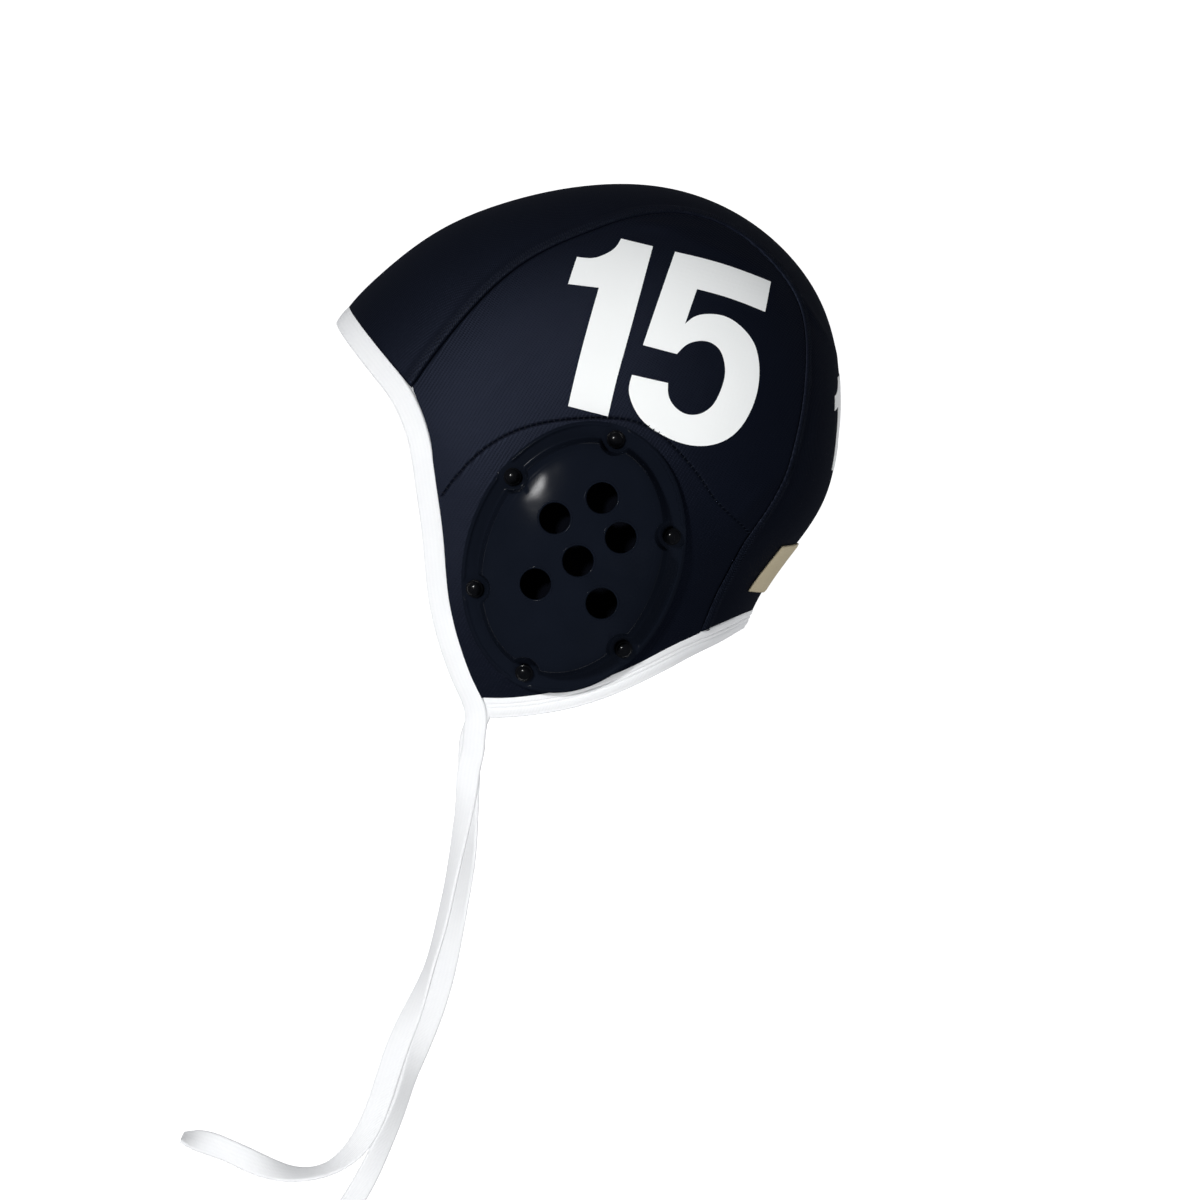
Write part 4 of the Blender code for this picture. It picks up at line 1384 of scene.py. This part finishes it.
# %% Number outlines, in millimetres back and up from the ear point
ONE = table(
    "back up corner",
    (-17.5, 120.0, 1),
    (-5.1, 120.6, 1),
    (-3.7, 80.4, 0),
    (-3.3, 66.0, 0),
    (-2.5, 54.3, 1),
    (-18.0, 53.8, 1),
    (-19.0, 70.0, 0),
    (-19.9, 99.7, 1),
    (-31.5, 97.8, 1),
    (-31.4, 108.6, 1),
    (-24.7, 110.2, 0),
    (-21.2, 112.8, 0),
    (-18.6, 116.0, 0),
)
FIVE = table(
    "back up corner",
    (3.5, 121.0, 1),
    (21.8, 121.8, 0),
    (41.4, 120.7, 1),
    (42.6, 109.0, 1),
    (26.9, 110.1, 0),
    (15.6, 109.8, 1),
    (15.1, 95.8, 1),
    (17.6, 99.3, 0),
    (22.7, 102.0, 0),
    (29.1, 102.8, 0),
    (36.1, 100.6, 0),
    (42.1, 96.1, 0),
    (46.3, 88.6, 0),
    (48.3, 79.4, 0),
    (47.8, 70.2, 0),
    (44.6, 61.4, 0),
    (40.1, 56.6, 0),
    (33.3, 53.4, 0),
    (25.3, 52.6, 0),
    (17.5, 53.8, 0),
    (10.5, 56.4, 0),
    (5.3, 60.8, 0),
    (2.0, 66.4, 0),
    (1.6, 71.8, 1),
    (15.4, 72.7, 1),
    (16.9, 68.3, 0),
    (20.4, 64.9, 0),
    (25.4, 63.5, 0),
    (29.9, 64.9, 0),
    (33.4, 68.7, 0),
    (35.0, 75.0, 0),
    (34.8, 82.4, 0),
    (33.1, 86.7, 0),
    (30.1, 90.4, 0),
    (25.7, 91.9, 0),
    (21.5, 91.0, 0),
    (17.8, 88.3, 0),
    (15.5, 84.1, 1),
    (2.3, 83.7, 1),
)
FILM_RISE = 0.00022
FILM_THICKNESS = 0.00018
FILM_CELL = 0.0016
OUTLINE_STEP = 0.0008
NUMBER_MIDDLE_MM = 8.5


def outline(figure):
    """A closed line through a figure's points, smooth between its corners."""
    points = np.stack([figure.back, figure.up], axis=1) / 1000
    corners = np.flatnonzero(figure.corner)
    ring = []
    for first, last in zip(corners, np.append(corners[1:], corners[0] + len(points))):
        run = points[np.arange(first, last + 1) % len(points)]
        along = length_along(run)
        place = np.linspace(0, along[-1], max(2, int(along[-1] / OUTLINE_STEP)))[:-1]
        ring.append(np.stack([spline(along, run[:, k])(place) for k in (0, 1)], axis=1))
    return np.concatenate(ring)


def filled(name, outlines):
    """A flat mesh of filled outlines, cut into square cells small enough to bend with the cloth."""
    work = bmesh.new()
    for ring in outlines:
        corners = [work.verts.new((*place, 0.0)) for place in ring.tolist()]
        work.faces.new(corners)
    low, high = np.concatenate(outlines).min(axis=0), np.concatenate(outlines).max(axis=0)
    for axis in (0, 1):
        for place in np.arange(low[axis] + FILM_CELL / 2, high[axis], FILM_CELL).tolist():
            parts = work.verts[:] + work.edges[:] + work.faces[:]
            square = Vector((axis == 0, axis == 1, 0))
            bmesh.ops.bisect_plane(work, geom=parts, plane_co=square * place, plane_no=square)
    bmesh.ops.triangulate(work, faces=[face for face in work.faces if len(face.verts) > 4])
    mesh = bpy.data.meshes.new(name)
    work.to_mesh(mesh)
    work.free()
    return mesh


def laid_film(name, place, outlines):
    """A film: each flat point goes where a function of the flat points puts it."""
    mesh = filled(name, outlines)
    flat = np.empty(len(mesh.vertices) * 3, np.float32)
    mesh.vertices.foreach_get("co", flat)
    flat = flat.reshape(-1, 3)[:, :2].astype(float)
    mesh.vertices.foreach_set("co", place(flat[:, 0], flat[:, 1]).astype(np.float32).ravel())
    mesh.update()
    made = new_object(name, mesh)
    cleaned(made, EAR)
    walled(made, FILM_THICKNESS)
    return made


def on_side(side):
    """Put flat points, back and up from the ear point, on one side of the cap.

    On the right the figure is turned about its middle, so that it reads the right way there too.
    """

    def place(back, up):
        if side < 0:
            back = 2 * NUMBER_MIDDLE_MM / 1000 - back
        angle, radius = polar(back, up)
        points = surface_point(angle, radius, side)
        dip = seam_dip(radius - arch_seam(np.clip(angle, ARCH_START, ARCH_END)))
        return raised(points, FILM_RISE + dip + fold_height(points))

    return place


BACK_SCALE = 0.55
BACK_MIDDLE_ANGLE = 137.0
NUMBER_MIDDLE_UP_MM = 87.0


def on_back(back, up):
    """Put flat points on the crown strip: across it, and along its middle line by length."""
    angle = np.linspace(100, 180, 400)
    along = length_along(crown_point(angle, np.zeros(400)))
    start = np.interp(BACK_MIDDLE_ANGLE, angle, along)
    x = -BACK_SCALE * (back - NUMBER_MIDDLE_MM / 1000)
    here = np.interp(start - BACK_SCALE * (up - NUMBER_MIDDLE_UP_MM / 1000), along, angle)
    slant = np.sign(x) * np.degrees(np.arcsin((np.abs(x) / HALF_WIDTH) ** (BULGE / 2)))
    points = crown_point(here, slant)
    return raised(points, FILM_RISE + fold_height(points))


def number_film(name):
    """White heat-transfer film: flat white and dull, a little uneven from the knit below."""
    made, tree = new_material(name)
    return shaded(made, {
        "Base Color": blend(tree, noise(tree, cap_place(tree), 18.0), "#f2f4f3", "#f5f7f6"),
        "Roughness": 0.62,
        "Specular IOR Level": 0.2,
        "Normal": bump(tree, noise(tree, cap_place(tree), 1.4), 0.03),
    })


WHITE_FILM = number_film("white heat-transfer film")
figures = [outline(ONE), outline(FIVE)]
for film_name, place in (("left", on_side(1)), ("right", on_side(-1)), ("back", on_back)):
    dress(laid_film(f"number_{film_name}", place, figures), WHITE_FILM, "number_film")

# %% [markdown]
# ## Nape label
# A woven satin label is sewn across the strip above the nape. It is left blank here. Its grid is a
# patch of the crown surface, lifted off by a hair.

# %% Label
LABEL_HALF_WIDTH = 0.0320
LABEL_TOP_ANGLE = 161.0
LABEL_BOTTOM_ANGLE = 175.5
LABEL_THICKNESS = 0.0008
HEM_DIP = 0.0003
HEM_WIDTH = 0.0007


def label_satin(name):
    """Beige woven satin: fine ribs across, each with a painted highlight, in soft patches of two close
    tones.
    """
    made, tree = new_material(name)
    ribs = wave(tree, cloth_map(tree), 0.4, "Y")
    tone = blend(tree, noise(tree, cloth_map(tree), 5.0), "#d4c7a7", "#dfd4b9")
    # painted highlight: the ribs' floats are painted lighter than the darker beige between them
    colour = blend(tree, ribs, "#bcaf90", tone)
    return shaded(made, {"Base Color": colour, "Roughness": 0.55, "Normal": bump(tree, ribs, 0.05)})


edge = np.degrees(np.arcsin((LABEL_HALF_WIDTH / HALF_WIDTH) ** (BULGE / 2)))
angle = np.linspace(LABEL_TOP_ANGLE, LABEL_BOTTOM_ANGLE, 30)[:, None]
points = crown_point(angle, np.linspace(-edge, edge, 80)[None, :])
near, far = from_edges(points)
down = np.broadcast_to(length_along(points[:, 40])[:, None], near.shape)
border = np.minimum(np.minimum(near, far), np.minimum(down, down.max() - down))
rise = TOUCH_GAP + LABEL_THICKNESS - HEM_DIP * ridge(border, HEM_WIDTH)
label = grid_piece("woven_label", raised(points, rise), near, down)
cleaned(label, EAR)
walled(label, LABEL_THICKNESS)
dress(label, label_satin("beige woven satin"), "label_fabric", "nape_label")

# %% [markdown]
# ## Seam stitches
# A seam reads as a seam because of its thread. A stitch is a short bowed tube, and a row of them is
# one stack of equal grids, computed at once. The overlock slants over the raised band beside the
# crown seam, and a blanket stitch holds the arch seam.

# %% Stitches


def thread_row(name, first, last, normal, bow):
    """One small tube a stitch, from first to last, bowed up along the normal and thin at its ends.

    The middle line is first + share (last - first) + bow sin(pi share) normal, and the tube's
    radius is the thread's times the square root of sin(pi share).
    """
    share = np.linspace(0.02, 0.98, 7)[None, :, None]
    line = first[:, None] + share * (last - first)[:, None]
    line = line + bow * np.sin(np.pi * share) * normal[:, None]
    tangent = unit(last - first)
    sideways = unit(np.cross(tangent, normal))
    upwards = np.cross(sideways, tangent)
    size = THREAD_RADIUS * np.sqrt(np.sin(np.pi * share))[..., None]
    points = line[:, :, None] + size * spokes(sideways, upwards, 6)[:, None]
    return solid_grid(name, points, capped=True)


def navy_thread(name):
    """Spun polyester thread: dull, and mottled from darker to lighter than the cloth by its ply."""
    made, tree = new_material(name)
    colour = blend(tree, noise(tree, cap_place(tree), 0.5), "#04060a", "#1c2230")
    return shaded(made, {"Base Color": colour, "Roughness": 0.65, "Specular IOR Level": 0.22})


NAVY_THREAD = navy_thread("navy polyester thread")
OVERLOCK_PITCH = 0.0011
BLANKET_PITCH = 0.0022
THREAD_RADIUS = 0.00021
OVERLOCK_BOW = 0.00015
OVERLOCK_SEAM_LIFT = 0.0003
OVERLOCK_EDGE_LIFT = 0.0001
BLANKET_BOW = 0.00002
BLANKET_LOW_SUNK = 0.00016
BLANKET_HIGH_SUNK = 0.00010


def seam_places(seam, start, end, pitch, side):
    """Angles a pitch apart by length along a seam."""
    angle = np.linspace(start, end, 3000)
    along = length_along(surface_point(angle, seam(angle), side))
    return np.interp(np.linspace(0, 1, int(along[-1] / pitch)), along / along[-1], angle)


def crown_seam_rows(side):
    """Three rows of places on the overlock band: just off the seam, its middle, and its far edge."""
    place = seam_places(crown_seam, SEAM_START + 0.4, SEAM_END - 0.4, OVERLOCK_PITCH, side)
    slant = crown_slant(place, crown_seam(place))
    per_degree = np.linalg.norm(crown_point(place, slant) - crown_point(place, slant - 1), axis=1)
    rows = []
    for distance in (BAND_START, OVERLOCK_WIDTH / 2, OVERLOCK_WIDTH):
        rows.append(crown_point(place, side * (slant - distance / per_degree)))
    return rows


def arch_seam_rows(side):
    """Places either side of the arch seam, about a millimetre from it."""
    place = seam_places(arch_seam, ARCH_START + 0.5, ARCH_END - 0.5, BLANKET_PITCH, side)
    return [surface_point(place, arch_seam(place) + distance, side) for distance in (-0.0009, 0.0011)]


for side_name, side in SIDES:
    low, middle, high = crown_seam_rows(side)
    for row_name, first, last, ends in (
        ("near", low[:-1], middle[1:], (OVERLOCK_SEAM_LIFT, OVERLOCK_RISE)),
        ("far", middle[1:], high[:-1], (OVERLOCK_RISE, OVERLOCK_EDGE_LIFT)),
    ):
        normal = surface_normal(first)
        stitches = thread_row(
            f"overlock_{row_name}_{side_name}",
            first + normal * ends[0],
            last + surface_normal(last) * ends[1],
            normal,
            OVERLOCK_BOW,
        )
        dress(stitches, NAVY_THREAD, "cap_fabric")
    low, high = arch_seam_rows(side)
    normal = surface_normal(low)
    stitches = thread_row(
        f"blanket_stitch_{side_name}",
        low - normal * BLANKET_LOW_SUNK,
        high - surface_normal(high) * BLANKET_HIGH_SUNK,
        normal,
        BLANKET_BOW,
    )
    dress(stitches, NAVY_THREAD, "cap_fabric")

# %% [markdown]
# ## Studio
# The cap is almost black and its tapes almost white, so the light does two jobs. One small key from
# the front, above and left gives the tapes their white and the plastic its one round highlight. A
# fill from behind and below, a low light in front and one on the far side are large and soft. They
# are hidden from reflections and keep the shadow sides readable. The stage is one seamless bowl: a
# pale floor that curves up all round. It is hidden from reflections too, because a white room would
# wash out dark plastic, and it casts no shadow, so the low light reaches the cap through it.

# %% Stage
FLOOR_Z = -0.470
BOWL_RADIUS = 3.2
FLOOR_RADIUS = 1.6


def bowl_profile():
    """Radius and height: a flat floor, then a quarter circle that ends upright."""
    bend = np.linspace(0, np.pi / 2, 24)
    rise = BOWL_RADIUS - FLOOR_RADIUS
    radius = np.concatenate([[0.0, 0.5, 1.0], FLOOR_RADIUS + rise * np.sin(bend), [BOWL_RADIUS]])
    height = np.concatenate([[0.0, 0.0, 0.0], rise * (1 - np.cos(bend)), [2 * BOWL_RADIUS]])
    return radius, height


radius, height = bowl_profile()
turn = np.linspace(0, 2 * np.pi, 96, endpoint=False)[:, None]
bowl = np.broadcast_arrays(radius * np.cos(turn), radius * np.sin(turn), FLOOR_Z + height)
bowl = np.stack(bowl, axis=-1)
stage = grid_piece("stage", np.concatenate([bowl, bowl[:1]]), 0.0, 0.0)
stage.visible_diffuse = False
stage.visible_glossy = False
stage.visible_shadow = False
paper, _ = new_material("pale studio paper")
stage.data.materials.append(shaded(paper, {
    "Base Color": "#fdfdfd",
    "Roughness": 0.9,
    "Specular IOR Level": 0.0,
    "Emission Color": "#ffffff",
    "Emission Strength": 0.85,
}))

# %% Lights


def area_light(name, place, target, size, power):
    """A square area light that looks at a target."""
    data = bpy.data.lights.new(name, "AREA")
    data.size = size
    data.energy = power
    made = new_object(name, data)
    made.location = place
    made.rotation_mode = "QUATERNION"
    made.rotation_quaternion = (Vector(target) - Vector(place)).to_track_quat("-Z", "Y")
    return made


MIDDLE = (0.0, 0.0, -0.16)
for name, place, size, power in (
    ("key", (2.05, -1.12, 0.38), 0.22, 39.0),
    ("fill", (1.3, 1.7, -1.15), 1.6, 36.0),
    ("low", (1.0, -1.5, -1.0), 1.2, 11.0),
    ("far side", (-1.9, 0.6, 0.6), 1.6, 30.0),
):
    area_light(name, place, MIDDLE, size, power).visible_glossy = name == "key"

world = bpy.data.worlds.new("dim studio")
world.use_nodes = True
world.node_tree.nodes["Background"].inputs["Color"].default_value = linear("#e2e7f6")
world.node_tree.nodes["Background"].inputs["Strength"].default_value = 0.08
bpy.context.scene.world = world
bpy.context.scene.view_settings.view_transform = "Standard"
